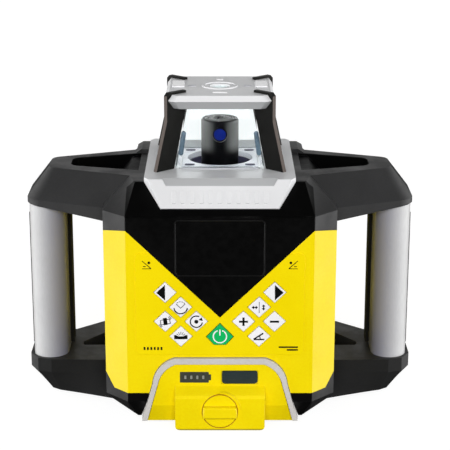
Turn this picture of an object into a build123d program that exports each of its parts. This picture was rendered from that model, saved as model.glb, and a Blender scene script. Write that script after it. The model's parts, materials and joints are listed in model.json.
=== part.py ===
"""Rotating laser level: an eight-sided case with two carrying handles, a self-levelling rotor in a glass
lantern, a keypad with display on the front and a pull-out battery below it.

The origin is the mouth of the tripod thread, on the plane that the level stands on. X runs from the left
handle to the right handle, the keypad faces -Y and Z is up. All sizes are in millimetres.
"""

import os
from math import cos, radians, sin

from build123d import *

os.makedirs("parts", exist_ok=True)

# --------------------------------------------------------------------------------------------------
# Driving dimensions
# --------------------------------------------------------------------------------------------------

# Eight-sided case: half width and depth, corner cuts, wall, and the heights of its seams
CASE_HALF = 72.0
CASE_CUT = 14.5
WALL = 2.5
FOOT_HEIGHT = 2.0
FLOOR = 3.0
BASE_HALF_X = 70.0
BASE_HALF_Y = 58.0
BASE_CUT_X = 18.0
BASE_CUT_Y = 27.0
BASE_FOLD_Z = 17.4
LOWER_SEAM_Z = 23.2
LOWER_SEAM_X = 66.5
LOWER_SEAM_SIDE_Z = 32.2
UPPER_SEAM_Z = 129.1
UPPER_SEAM_X = CASE_HALF - CASE_CUT
UPPER_SEAM_SIDE_Z = 125.3
FACE_TOP_Z = 138.0
CROWN_TOP_Z = 153.6
CROWN_HALF_X = 56.2
CROWN_HALF_Y = 48.8
CROWN_CUT_X = 3.8
CROWN_CUT_Y = 15.0
CROWN_WALL = 3.0
CROWN_HOLE_RADIUS = 23.5
SHOULDER_HEIGHT = 2.6
SHOULDER_FRONT_Y = 24.0
SHOULDER_REAR_Y = 47.0

# Handle arms and tubes
ARM_END_X = 123.2
ARM_HOLE_POCKET_Z = 151.9
ARM_FLARE_Z = 135.0
ARM_END_UNDERSIDE_Z = 131.8
ARM_ROOT_UNDERSIDE_Z = 126.4
LOWER_ARM_TOP_Z = 28.0
LOWER_ARM_BAND_Z = 19.0
TUBE_X = 110.9
TUBE_Y = -1.0
TUBE_WIDTH = 22.6
TUBE_DEPTH = 46.0
TUBE_WALL = 2.0
TUBE_BOTTOM_Z = 26.0
TUBE_TOP_Z = 134.5
GRIP_THICKNESS = 2.3
GRIP_BOTTOM_Z = 29.4
GRIP_TOP_Z = 119.5
GRIP_FRONT_Y = 1.0
GRIP_GROOVES = 4

# Collar, deck and lantern
COLLAR_HALF_X = 46.7
COLLAR_HALF_Y = 53.2
COLLAR_TOP_Z = 156.4
COLLAR_RAMP_Y = 50.5
COLLAR_RAMP_SLOPE = 0.55
COLLAR_FOOT_Y = 67.0
COLLAR_FOOT_HALF_X = 35.5
COLLAR_RIBS = 11
DECK_HALF_X = 24.2
DECK_HALF_Y = 29.0
DECK_TOP_Z = 157.0
WELL_RADIUS = 20.75
GLASS_FOOT_HALF = (28.0, 26.6)
GLASS_HEAD_HALF = (22.2, 20.0)
GLASS_THICKNESS = 2.0
ROOF_BOTTOM_Z = 195.1
ROOF_EDGE_Z = 200.3
ROOF_TOP_Z = 203.7
ROOF_BOTTOM_HALF = (30.9, 29.9)
ROOF_EDGE_HALF = (34.0, 33.0)
ROOF_TOP_HALF = (31.7, 30.7)
ROOF_CUT = (5.8, 4.0)
ROOF_HOLE_RADIUS = 6.5
POST_ANGLE = 41.6
POST_THICKNESS = 3.0
POST_FOOT_RADII = (39.8, 53.9)
POST_HEAD_RADII = (29.5, 45.0)
POST_KINK_Z = 187.4
FINGER_RADIUS = 29.5
STRIP_Z = 171.5
FINGER_HEIGHT = 1.5

# Front panel
PANEL_APEX_Z = 73.4
PANEL_TOP_Z = 137.2
PANEL_THICKNESS = 1.6
WINDOW_HALF_X = 26.9
WINDOW_BOTTOM_Z = 101.0
WINDOW_TOP_Z = 135.1
OVERLAY_HALF_X = 51.8
OVERLAY_BOTTOM_Z = 49.0
OVERLAY_TOP_Z = 114.8
OVERLAY_THICKNESS = 0.5
KEY_HALF_X = 6.9
KEY_HALF_Z = 6.65
KEY_TRAVEL = 0.6
KEY_GAP = 0.3
KEY_FRONT = CASE_HALF + OVERLAY_THICKNESS + KEY_TRAVEL
KEY_BACK = 66.0
BOARD_FRONT = 64.8
BOARD_THICKNESS = 1.6

# Battery bay and battery
ARCH_TOP_HALF_X = 28.3
ARCH_TOP_Z = 47.2
ARCH_BEND = (38.0, 40.6)
ARCH_SIDE = (42.2, 30.0)
ARCH_FLARE = 0.277
BEZEL_FRONT = 74.0
BEZEL_WIDTH = 4.1
BAY_BACK = 28.5
BAY_WALL = 2.5
BATTERY_INSET = 4.5
BATTERY_FRONT = 73.0
BATTERY_BACK = 30.5
BATTERY_WALL = 1.8
WING_FOLD_Z = 15.3
WING_BOTTOM_Z = 3.6
BLOCK_HALF_X = 27.9
BLOCK_FRONT = 80.0
BLOCK_BOTTOM_Z = 0.8
KNOB_Z = 14.2
KNOB_RADIUS = 10.75
CELL_RADIUS = 9.0
CELL_LENGTH = 65.0
CELL_Z = 27.0
RAIL_Z = 10.0

# Levelling gimbal and rotor
PIVOT_Z = 120.0
PIN_RADIUS = 2.0
RUNNING_GAP = 0.05
RING_INNER_RADIUS = 38.0
RING_OUTER_RADIUS = 43.0
RING_HEIGHT = 10.0
FRAME_UPRIGHT_X = 46.0
FRAME_UPRIGHT_THICKNESS = 6.0
OPTICS_RADIUS = 17.0
OPTICS_BORE = 14.0
OPTICS_BOTTOM_Z = 62.0
OPTICS_TOP_Z = 136.0
BEARING_WIDTH = 5.0
BEARING_Z = (112.0, 129.0)
SPINDLE_RADIUS = 7.0
MOTOR_X = 26.0
MOTOR_RADIUS = 6.5
PULLEY_BOTTOM_Z = 137.6
PULLEY_FLANGE = 0.8
BELT_WIDTH = 4.0
BELT_THICKNESS = 0.8
ROTOR_GROOVE_RADIUS = 11.2
MOTOR_GROOVE_RADIUS = 4.4
ROTOR_RADIUS = 12.0
ROTOR_BOTTOM_Z = 145.0
ROTOR_TOP_Z = 183.0
ROTOR_WINDOW_Z = 174.3
ROTOR_WINDOW_RADIUS = 3.75
PRISM_SIDE = 11.0
PRISM_BOTTOM_Z = 168.0

# Tripod thread (5/8 inch, 11 threads per inch: the bore is its minor diameter)
THREAD_RADIUS = 6.75
THREAD_LENGTH = 18.0
INSERT_FLANGE_RADIUS = 23.0
INSERT_FLANGE_THICKNESS = 3.5
INSERT_BOSS_RADIUS = 12.0

# Screws (M3, pan head)
SCREW_RADIUS = 1.5
SCREW_LENGTH = 8.0
SCREW_HEAD_RADIUS = 2.8
SCREW_HEAD_HEIGHT = 2.0
RECESS_RADIUS = 3.2
DECK_SCREW_X = 19.1
DECK_SCREW_Y = 19.0
CASE_SCREW_X = 60.0
CASE_SCREW_Y = 30.0
BOSS_RADIUS = 4.5
BOSS_SEAM_Z = 24.0

# Keys: name and centre on the front, and their outlines
KEYS = [
    ("left_key", -33.6, 90.0),
    ("scan_key", -24.1, 80.4),
    ("shock_key", -33.6, 71.1),
    ("speed_key", -14.5, 71.1),
    ("tilt_key", -24.1, 61.3),
    ("right_key", 33.6, 90.0),
    ("axis_key", 24.1, 80.4),
    ("plus_key", 14.5, 71.1),
    ("minus_key", 33.6, 71.1),
    ("grade_key", 24.1, 61.3),
]
KEY_OUTLINE = [(KEY_HALF_X, 0), (0, KEY_HALF_Z), (-KEY_HALF_X, 0), (0, -KEY_HALF_Z)]
POWER_KEY = ("power_key", 0.0, 61.1)
POWER_OUTLINE = [(8.1, 0), (0, 8.4), (-8.1, 0), (-3.5, -5.2), (3.5, -5.2)]


# --------------------------------------------------------------------------------------------------
# Helpers
# --------------------------------------------------------------------------------------------------


def write(piece, name):
    """Label a finished piece and write it as one STEP file."""
    piece.part.label = name
    export_step(piece.part, f"parts/{name}.step")


def front(distance):
    """A sketch plane that faces the keypad side, this far in front of the axis: x is X and y is Z."""
    return Plane.XZ.offset(distance)


def octagon(half_x, half_y, cut_x, cut_y):
    """A rectangle with cut corners, drawn in the current sketch."""
    Polygon(
        (half_x, cut_y - half_y),
        (half_x, half_y - cut_y),
        (half_x - cut_x, half_y),
        (cut_x - half_x, half_y),
        (-half_x, half_y - cut_y),
        (-half_x, cut_y - half_y),
        (cut_x - half_x, -half_y),
        (half_x - cut_x, -half_y),
        align=None,
    )


def case_outline(inset=0.0):
    """The case's plan, moved inwards by the thickness of a wall."""
    cut = CASE_CUT - 0.6 * inset
    octagon(CASE_HALF - inset, CASE_HALF - inset, cut, cut)


def arm_hole_outline():
    """The hole of the right upper arm: wide at the case, narrow at the handle, with rounded corners."""
    hole = Polygon((95.9, -8), (95.9, 11.5), (51.5, 25), (51.5, -20.5), align=None)
    ends = hole.vertices().sort_by(Axis.X)
    fillet(ends[2:], 7)
    fillet(ends[:2], 3)


def arch(inset, foot_z):
    """The battery bay's arch, moved inwards by inset, with its feet at foot_z."""
    side_x = ARCH_SIDE[0] - 0.85 * inset
    foot_x = side_x + ARCH_FLARE * (ARCH_SIDE[1] - foot_z)
    bend_x = ARCH_BEND[0] - 0.8 * inset
    bend_z = ARCH_BEND[1] - 0.6 * inset
    top_x = ARCH_TOP_HALF_X - 0.2 * inset
    top_z = ARCH_TOP_Z - inset
    with BuildLine() as outline:
        Line((-foot_x, foot_z), (-side_x, ARCH_SIDE[1]))
        ThreePointArc((-side_x, ARCH_SIDE[1]), (-bend_x, bend_z), (-top_x, top_z))
        Line((-top_x, top_z), (top_x, top_z))
        ThreePointArc((top_x, top_z), (bend_x, bend_z), (side_x, ARCH_SIDE[1]))
        Line((side_x, ARCH_SIDE[1]), (foot_x, foot_z))
        Line((foot_x, foot_z), (-foot_x, foot_z))
    make_face(outline.edges())


def panel_outline():
    """The black display panel: full width at the top, running down to a point between the keys."""
    Polygon(
        (0, PANEL_APEX_Z),
        (UPPER_SEAM_X - 0.1, UPPER_SEAM_Z),
        (UPPER_SEAM_X - 0.1, PANEL_TOP_Z),
        (0.1 - UPPER_SEAM_X, PANEL_TOP_Z),
        (0.1 - UPPER_SEAM_X, UPPER_SEAM_Z),
        align=None,
    )


def key_outlines(grow=0.0):
    """All eleven keys, each grown by a gap, drawn in the current sketch."""
    for _, x, z in KEYS:
        with Locations((x, z)):
            scale = 1 + grow * 1.41 / KEY_HALF_Z
            Polygon(*[(scale * px, scale * pz) for px, pz in KEY_OUTLINE], align=None)
    with Locations((POWER_KEY[1], POWER_KEY[2])):
        scale = 1 + grow * 1.3 / 5.2
        Polygon(*[(scale * px, scale * pz) for px, pz in POWER_OUTLINE], align=None)


def radial_plane(angle):
    """A vertical sketch plane through the axis: x is the distance from the axis and y is Z."""
    across = (cos(radians(angle)), sin(radians(angle)), 0)
    return Plane(origin=(0, 0, 0), x_dir=across, z_dir=(across[1], -across[0], 0))


def corners(x, y):
    """Four mirrored places around the axis."""
    return Locations((x, y), (x, -y), (-x, y), (-x, -y))


# --------------------------------------------------------------------------------------------------
# Base housing: the tray under the case, with the lower handle arms
# --------------------------------------------------------------------------------------------------

with BuildPart() as base_housing:
    # One lower arm: an upright band, and under it a part that tapers in towards the body
    with BuildSketch(Plane.XY.offset(LOWER_ARM_BAND_Z)):
        lower_arm = Polygon(
            (60, -29),
            (110, -27.5),
            (119, -24.5),
            (124.5, -15),
            (124.5, 13),
            (118, 24),
            (98.4, 28.4),
            (80.7, 44),
            (60, 52),
            align=None,
        )
    extrude(amount=LOWER_ARM_TOP_Z - LOWER_ARM_BAND_Z)
    with BuildSketch(Plane.XY.offset(LOWER_ARM_BAND_Z)):
        add(lower_arm)
    with BuildSketch(Plane.XY.offset(FOOT_HEIGHT)):
        Polygon(
            (60, -34),
            (104, -22.5),
            (108, -19.5),
            (110, -12),
            (110, 12),
            (106, 20),
            (94, 24),
            (78, 39),
            (60, 47),
            align=None,
        )
    loft(ruled=True)
    # Its underside rises towards the handle, and a three-cornered hole lightens it
    with BuildSketch(Plane.XZ):
        Polygon((68, 0), (68, FOOT_HEIGHT), (108, 5), (130, 7), (130, 0), align=None)
    extrude(amount=60, both=True, mode=Mode.SUBTRACT)
    with BuildSketch():
        lower_hole = Polygon((91.5, -1.6), (91.5, 4.5), (72, 30), (60, 30), (60, -1.6), align=None)
        fillet(lower_hole.vertices().sort_by(Axis.X)[-2:], 2.4)
    extrude(amount=40, mode=Mode.SUBTRACT)
    # Socket for the handle tube
    with BuildSketch(Plane.XY.offset(TUBE_BOTTOM_Z)):
        with Locations((TUBE_X, TUBE_Y)):
            SlotOverall(TUBE_DEPTH, TUBE_WIDTH, rotation=90)
    extrude(amount=10, mode=Mode.SUBTRACT)
    mirror(about=Plane.YZ)
    # Body of the tray: undercut skirt, then an upright band up to the seam
    with BuildSketch(Plane.XY.offset(FOOT_HEIGHT)):
        octagon(BASE_HALF_X, BASE_HALF_Y, BASE_CUT_X, BASE_CUT_Y)
    with BuildSketch(Plane.XY.offset(BASE_FOLD_Z)):
        case_outline()
    loft(ruled=True)
    with BuildSketch(Plane.XY.offset(BASE_FOLD_Z)):
        case_outline()
    extrude(amount=LOWER_SEAM_SIDE_Z - BASE_FOLD_Z)
    # Hollow
    with BuildSketch(Plane.XY.offset(FOOT_HEIGHT + FLOOR)):
        octagon(BASE_HALF_X - WALL, BASE_HALF_Y - WALL, BASE_CUT_X, BASE_CUT_Y)
    with BuildSketch(Plane.XY.offset(BASE_FOLD_Z)):
        case_outline(WALL)
    loft(ruled=True, mode=Mode.SUBTRACT)
    with BuildSketch(Plane.XY.offset(BASE_FOLD_Z)):
        case_outline(WALL)
    extrude(amount=LOWER_SEAM_SIDE_Z - BASE_FOLD_Z, mode=Mode.SUBTRACT)
    # The seam with the yellow shell runs level, then climbs at the sides
    with BuildSketch(Plane.XZ):
        Polygon(
            (-CASE_HALF, LOWER_SEAM_SIDE_Z),
            (-LOWER_SEAM_X, LOWER_SEAM_Z),
            (LOWER_SEAM_X, LOWER_SEAM_Z),
            (CASE_HALF, LOWER_SEAM_SIDE_Z),
            align=None,
        )
    extrude(amount=CASE_HALF + 1, both=True, mode=Mode.SUBTRACT)
    # Screw bosses, drilled from below
    with BuildSketch(Plane.XY.offset(FOOT_HEIGHT + 1)):
        with corners(CASE_SCREW_X, CASE_SCREW_Y):
            Circle(BOSS_RADIUS)
    extrude(amount=BOSS_SEAM_Z - FOOT_HEIGHT - 1)
    with BuildSketch(Plane.XY.offset(FOOT_HEIGHT)):
        with corners(CASE_SCREW_X, CASE_SCREW_Y):
            Circle(RECESS_RADIUS)
    extrude(amount=BOSS_SEAM_Z - FOOT_HEIGHT - 5, mode=Mode.SUBTRACT)
    with BuildSketch(Plane.XY.offset(FOOT_HEIGHT)):
        with corners(CASE_SCREW_X, CASE_SCREW_Y):
            Circle(SCREW_RADIUS + 0.1)
    extrude(amount=BOSS_SEAM_Z, mode=Mode.SUBTRACT)
    # Seat of the tripod insert
    with BuildSketch(Plane.XY.offset(FOOT_HEIGHT)):
        Circle(INSERT_FLANGE_RADIUS)
    extrude(amount=INSERT_FLANGE_THICKNESS - FOOT_HEIGHT, mode=Mode.SUBTRACT)
    with BuildSketch(Plane.XY.offset(FOOT_HEIGHT)):
        Circle(INSERT_BOSS_RADIUS)
    extrude(amount=FLOOR, mode=Mode.SUBTRACT)
    # Battery bay, open at the front and below
    with BuildSketch(front(BAY_BACK - BAY_WALL)):
        arch(0, -1)
    extrude(amount=CASE_HALF, mode=Mode.SUBTRACT)
write(base_housing, "base_housing")

# --------------------------------------------------------------------------------------------------
# Body shell: the yellow middle of the case
# --------------------------------------------------------------------------------------------------

with BuildPart() as body_shell:
    with BuildSketch(Plane.XY.offset(LOWER_SEAM_Z)):
        case_outline()
        with BuildSketch(mode=Mode.PRIVATE) as inside:
            case_outline(WALL)
        add(inside.sketch, mode=Mode.SUBTRACT)
    extrude(amount=UPPER_SEAM_Z - LOWER_SEAM_Z)
    with BuildSketch(Plane.XZ):
        Polygon(
            (-CASE_HALF, LOWER_SEAM_SIDE_Z),
            (-LOWER_SEAM_X, LOWER_SEAM_Z),
            (LOWER_SEAM_X, LOWER_SEAM_Z),
            (CASE_HALF, LOWER_SEAM_SIDE_Z),
            (CASE_HALF, UPPER_SEAM_SIDE_Z),
            (UPPER_SEAM_X, UPPER_SEAM_Z),
            (-UPPER_SEAM_X, UPPER_SEAM_Z),
            (-CASE_HALF, UPPER_SEAM_SIDE_Z),
            align=None,
        )
    extrude(amount=CASE_HALF + 1, both=True, mode=Mode.INTERSECT)
    # Screw bosses with ribs to the side walls
    with BuildSketch(Plane.XY.offset(BOSS_SEAM_Z)):
        with corners(CASE_SCREW_X, CASE_SCREW_Y):
            Circle(BOSS_RADIUS)
        with corners((CASE_SCREW_X + CASE_HALF - WALL) / 2, CASE_SCREW_Y):
            Rectangle(CASE_HALF - WALL - CASE_SCREW_X, 3)
        with corners(CASE_SCREW_X, CASE_SCREW_Y):
            Circle(SCREW_RADIUS, mode=Mode.SUBTRACT)
    extrude(amount=20)
    # Posts for the keypad board and the main board
    with BuildSketch(front(BOARD_FRONT)):
        with Locations((46.5, 54), (-46.5, 54), (46.5, 94), (-46.5, 94)):
            Circle(3)
    extrude(amount=CASE_HALF - WALL - BOARD_FRONT + 0.5)
    with BuildSketch(front(-59.6)):
        with Locations((42, 42), (-42, 42), (42, 112), (-42, 112)):
            Circle(3)
    extrude(amount=59.6 - CASE_HALF + WALL - 0.5)
    # Seats and openings of the front panel
    with BuildSketch(front(CASE_HALF - PANEL_THICKNESS)):
        panel_outline()
    extrude(amount=PANEL_THICKNESS, mode=Mode.SUBTRACT)
    with BuildSketch(front(BOARD_FRONT)):
        with Locations((0, (WINDOW_BOTTOM_Z + UPPER_SEAM_Z) / 2 + 1)):
            Rectangle(2 * WINDOW_HALF_X - 3, UPPER_SEAM_Z - WINDOW_BOTTOM_Z)
    extrude(amount=CASE_HALF - BOARD_FRONT, mode=Mode.SUBTRACT)
    with BuildSketch(front(BOARD_FRONT)):
        key_outlines(KEY_GAP)
    extrude(amount=CASE_HALF - BOARD_FRONT, mode=Mode.SUBTRACT)
    # Battery bay
    with BuildSketch(front(BAY_BACK)):
        arch(0, -1)
    extrude(amount=CASE_HALF, mode=Mode.SUBTRACT)
write(body_shell, "body_shell")

# --------------------------------------------------------------------------------------------------
# Top housing: the black crown of the case, with the upper handle arms
# --------------------------------------------------------------------------------------------------

with BuildPart() as top_housing:
    # One upper arm: it flares outwards from its flat top to ARM_FLARE_Z, and drops straight from there
    with BuildSketch(Plane.XY.offset(ARM_FLARE_Z)) as upper_arm_outline:
        upper_arm = Polygon(
            (45, -53.5),
            (ARM_END_X, -22),
            (ARM_END_X, 22),
            (45, 53.5),
            align=None,
        )
        fillet(upper_arm.vertices().sort_by(Axis.X)[-2:], 13)
    extrude(amount=ARM_ROOT_UNDERSIDE_Z - ARM_FLARE_Z - 2)
    with BuildSketch(Plane.XY.offset(ARM_FLARE_Z)):
        add(upper_arm_outline.sketch)
    with BuildSketch(Plane.XY.offset(CROWN_TOP_Z)):
        arm_top = Polygon(
            (45, -38),
            (ARM_END_X - 14, -13),
            (ARM_END_X - 14, 13),
            (45, 38),
            align=None,
        )
        fillet(arm_top.vertices().sort_by(Axis.X)[-2:], 7)
    loft(ruled=True)
    # Underside, rising towards the handle
    with BuildSketch(Plane.XZ):
        Polygon(
            (40, 100),
            (40, ARM_ROOT_UNDERSIDE_Z),
            (72, ARM_ROOT_UNDERSIDE_Z),
            (122, ARM_END_UNDERSIDE_Z),
            (130, ARM_END_UNDERSIDE_Z),
            (130, 100),
            align=None,
        )
    extrude(amount=60, both=True, mode=Mode.SUBTRACT)
    # Hole that narrows towards the handle
    with BuildSketch(Plane.XY.offset(100)):
        arm_hole_outline()
    extrude(amount=60, mode=Mode.SUBTRACT)
    # Socket for the handle tube
    with BuildSketch(Plane.XY.offset(100)):
        with Locations((TUBE_X, TUBE_Y)):
            SlotOverall(TUBE_DEPTH, TUBE_WIDTH, rotation=90)
    extrude(amount=TUBE_TOP_Z - 100, mode=Mode.SUBTRACT)
    mirror(about=Plane.YZ)
    # Crown of the case: an upright band, then slopes up to the flat top
    with BuildSketch(Plane.XY.offset(UPPER_SEAM_SIDE_Z)):
        case_outline()
    extrude(amount=FACE_TOP_Z - UPPER_SEAM_SIDE_Z)
    with BuildSketch(Plane.XY.offset(FACE_TOP_Z)):
        case_outline()
    with BuildSketch(Plane.XY.offset(CROWN_TOP_Z)):
        octagon(CROWN_HALF_X, CROWN_HALF_Y, CROWN_CUT_X, CROWN_CUT_Y)
    loft(ruled=True)
    # Raised shoulders beside the rear of the collar
    with BuildSketch(Plane.XZ.offset(-SHOULDER_FRONT_Y)):
        for side in (-1, 1):
            Polygon(
                (side * COLLAR_HALF_X, CROWN_TOP_Z - 1),
                (side * 55.5, CROWN_TOP_Z - 1),
                (side * 55, CROWN_TOP_Z + 0.6),
                (side * 51.5, CROWN_TOP_Z + SHOULDER_HEIGHT),
                (side * COLLAR_HALF_X, CROWN_TOP_Z + SHOULDER_HEIGHT),
                align=None,
            )
    extrude(amount=SHOULDER_FRONT_Y - SHOULDER_REAR_Y)
    # Hollow under the crown
    with BuildSketch(Plane.XY.offset(UPPER_SEAM_SIDE_Z)):
        case_outline(WALL)
    extrude(amount=FACE_TOP_Z - UPPER_SEAM_SIDE_Z - 1, mode=Mode.SUBTRACT)
    with BuildSketch(Plane.XY.offset(FACE_TOP_Z - 1)):
        case_outline(WALL)
    with BuildSketch(Plane.XY.offset(CROWN_TOP_Z - CROWN_WALL)):
        octagon(CROWN_HALF_X - CROWN_WALL, CROWN_HALF_Y - CROWN_WALL, CROWN_CUT_X, CROWN_CUT_Y)
    loft(ruled=True, mode=Mode.SUBTRACT)
    # The inner ends of the arms' holes are pockets in the crown
    with BuildSketch(Plane.XY.offset(ARM_HOLE_POCKET_Z)):
        arm_hole_outline()
        mirror(about=Plane.YZ)
    extrude(amount=10, mode=Mode.SUBTRACT)
    # Seam with the yellow shell
    with BuildSketch(Plane.XZ):
        Polygon(
            (-CASE_HALF, UPPER_SEAM_SIDE_Z),
            (-UPPER_SEAM_X, UPPER_SEAM_Z),
            (UPPER_SEAM_X, UPPER_SEAM_Z),
            (CASE_HALF, UPPER_SEAM_SIDE_Z),
            align=None,
        )
    extrude(amount=CASE_HALF + 1, both=True, mode=Mode.SUBTRACT)
    # Opening for the rotor, with screw bosses around it
    with BuildSketch(Plane.XY.offset(CROWN_TOP_Z - 6.8)):
        with corners(DECK_SCREW_X, DECK_SCREW_Y):
            Circle(3.2)
    extrude(amount=6.8)
    with BuildSketch(Plane.XY.offset(CROWN_TOP_Z - 7)):
        Circle(CROWN_HOLE_RADIUS)
        with corners(DECK_SCREW_X, DECK_SCREW_Y):
            Circle(SCREW_RADIUS)
    extrude(amount=8, mode=Mode.SUBTRACT)
    # Seat and opening of the display panel
    with BuildSketch(front(CASE_HALF - PANEL_THICKNESS)):
        panel_outline()
    extrude(amount=PANEL_THICKNESS, mode=Mode.SUBTRACT)
    with BuildSketch(front(BOARD_FRONT)):
        with Locations((0, (UPPER_SEAM_Z + WINDOW_TOP_Z) / 2 - 2)):
            Rectangle(2 * WINDOW_HALF_X - 3, WINDOW_TOP_Z - UPPER_SEAM_Z)
    extrude(amount=CASE_HALF - BOARD_FRONT, mode=Mode.SUBTRACT)
write(top_housing, "top_housing")

# --------------------------------------------------------------------------------------------------
# Handles: a tube between the arms on each side, with a grooved grip sleeve round its rear
# --------------------------------------------------------------------------------------------------

for side, side_name in ((-1, "left"), (1, "right")):
    with BuildPart() as tube:
        with BuildSketch(Plane.XY.offset(TUBE_BOTTOM_Z)):
            with Locations((side * TUBE_X, TUBE_Y)):
                SlotOverall(TUBE_DEPTH, TUBE_WIDTH, rotation=90)
                inside_depth = TUBE_DEPTH - 2 * TUBE_WALL
                SlotOverall(inside_depth, TUBE_WIDTH - 2 * TUBE_WALL, rotation=90, mode=Mode.SUBTRACT)
        extrude(amount=TUBE_TOP_Z - TUBE_BOTTOM_Z)
    write(tube, f"{side_name}_tube")

    with BuildPart() as grip:
        with BuildSketch(Plane.XY.offset(GRIP_BOTTOM_Z)):
            with Locations((side * TUBE_X, TUBE_Y)):
                SlotOverall(TUBE_DEPTH + 2 * GRIP_THICKNESS, TUBE_WIDTH + 2 * GRIP_THICKNESS, rotation=90)
                SlotOverall(TUBE_DEPTH, TUBE_WIDTH, rotation=90, mode=Mode.SUBTRACT)
            with Locations((side * TUBE_X, GRIP_FRONT_Y)):
                Rectangle(2 * TUBE_WIDTH, TUBE_DEPTH, align=(Align.CENTER, Align.MAX), mode=Mode.SUBTRACT)
            with Locations((side * TUBE_X, GRIP_FRONT_Y)):
                for row in range(GRIP_GROOVES):
                    with Locations((0, 3.5 + 3.0 * row)):
                        for flank in (-1, 1):
                            with Locations((flank * (TUBE_WIDTH / 2 + GRIP_THICKNESS), 0)):
                                Circle(0.6, mode=Mode.SUBTRACT)
        extrude(amount=GRIP_TOP_Z - GRIP_BOTTOM_Z)
    write(grip, f"{side_name}_grip")

# --------------------------------------------------------------------------------------------------
# Front panel: display panel, display, keypad overlay, keypad board and keys
# --------------------------------------------------------------------------------------------------

with BuildPart() as display_panel:
    with BuildSketch(front(CASE_HALF - PANEL_THICKNESS)):
        panel_outline()
    extrude(amount=PANEL_THICKNESS)
    with BuildSketch(front(CASE_HALF - 0.3)):
        with Locations((0, (WINDOW_BOTTOM_Z + WINDOW_TOP_Z) / 2)):
            RectangleRounded(2 * WINDOW_HALF_X, WINDOW_TOP_Z - WINDOW_BOTTOM_Z, 2)
    extrude(amount=1, mode=Mode.SUBTRACT)
write(display_panel, "display_panel")

with BuildPart() as display_module:
    display_z = (WINDOW_BOTTOM_Z + WINDOW_TOP_Z) / 2 - 1
    with BuildSketch(front(BOARD_FRONT)):
        with Locations((0, display_z)):
            Rectangle(2 * WINDOW_HALF_X - 6, WINDOW_TOP_Z - WINDOW_BOTTOM_Z - 6)
    extrude(amount=CASE_HALF - PANEL_THICKNESS - BOARD_FRONT)
    with BuildSketch(front(BOARD_FRONT)):
        with Locations((0, display_z)):
            Rectangle(2 * WINDOW_HALF_X + 4, WINDOW_TOP_Z - WINDOW_BOTTOM_Z - 6)
    extrude(amount=-BOARD_THICKNESS)
write(display_module, "display_module")

with BuildPart() as keypad_overlay:
    with BuildSketch(front(CASE_HALF)):
        with Locations((0, (OVERLAY_BOTTOM_Z + OVERLAY_TOP_Z) / 2)):
            RectangleRounded(2 * OVERLAY_HALF_X, OVERLAY_TOP_Z - OVERLAY_BOTTOM_Z, 3)
        with BuildSketch(mode=Mode.PRIVATE) as panel_shape:
            panel_outline()
        add(panel_shape.sketch, mode=Mode.SUBTRACT)
        with BuildSketch(mode=Mode.PRIVATE) as key_shapes:
            key_outlines(KEY_GAP)
        add(key_shapes.sketch, mode=Mode.SUBTRACT)
    extrude(amount=OVERLAY_THICKNESS)
write(keypad_overlay, "keypad_overlay")

with BuildPart() as keypad_board:
    with BuildSketch(front(BOARD_FRONT - BOARD_THICKNESS)):
        with Locations((0, 74)):
            Rectangle(100, 50)
    extrude(amount=BOARD_THICKNESS)
    # A dome switch behind each key
    with BuildSketch(front(BOARD_FRONT)):
        with Locations(*[(x, z) for _, x, z in KEYS], POWER_KEY[1:]):
            Circle(2.5)
    extrude(amount=KEY_BACK - BOARD_FRONT - KEY_TRAVEL - 0.2)
write(keypad_board, "keypad_board")

for key_name, key_x, key_z in [*KEYS, POWER_KEY]:
    outline = POWER_OUTLINE if key_name == "power_key" else KEY_OUTLINE
    with BuildPart() as key:
        with BuildSketch(front(KEY_BACK + 3)):
            with Locations((key_x, key_z)):
                Polygon(*outline, align=None)
        extrude(amount=KEY_FRONT - KEY_BACK - 3)
        chamfer(key.faces().sort_by(Axis.Y)[0].edges(), 0.25)
        # Flange that stops the key behind the wall, and the plunger over its dome
        with BuildSketch(front(KEY_BACK + 2)):
            with Locations((key_x, key_z)):
                Polygon(*[(1.1 * x, 1.1 * z) for x, z in outline], align=None)
        extrude(amount=CASE_HALF - WALL - 0.1 - KEY_BACK - 2)
        with BuildSketch(front(KEY_BACK)):
            with Locations((key_x, key_z)):
                Circle(1.5)
        extrude(amount=2)
    write(key, key_name)

# --------------------------------------------------------------------------------------------------
# Collar and deck under the lantern
# --------------------------------------------------------------------------------------------------

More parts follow.
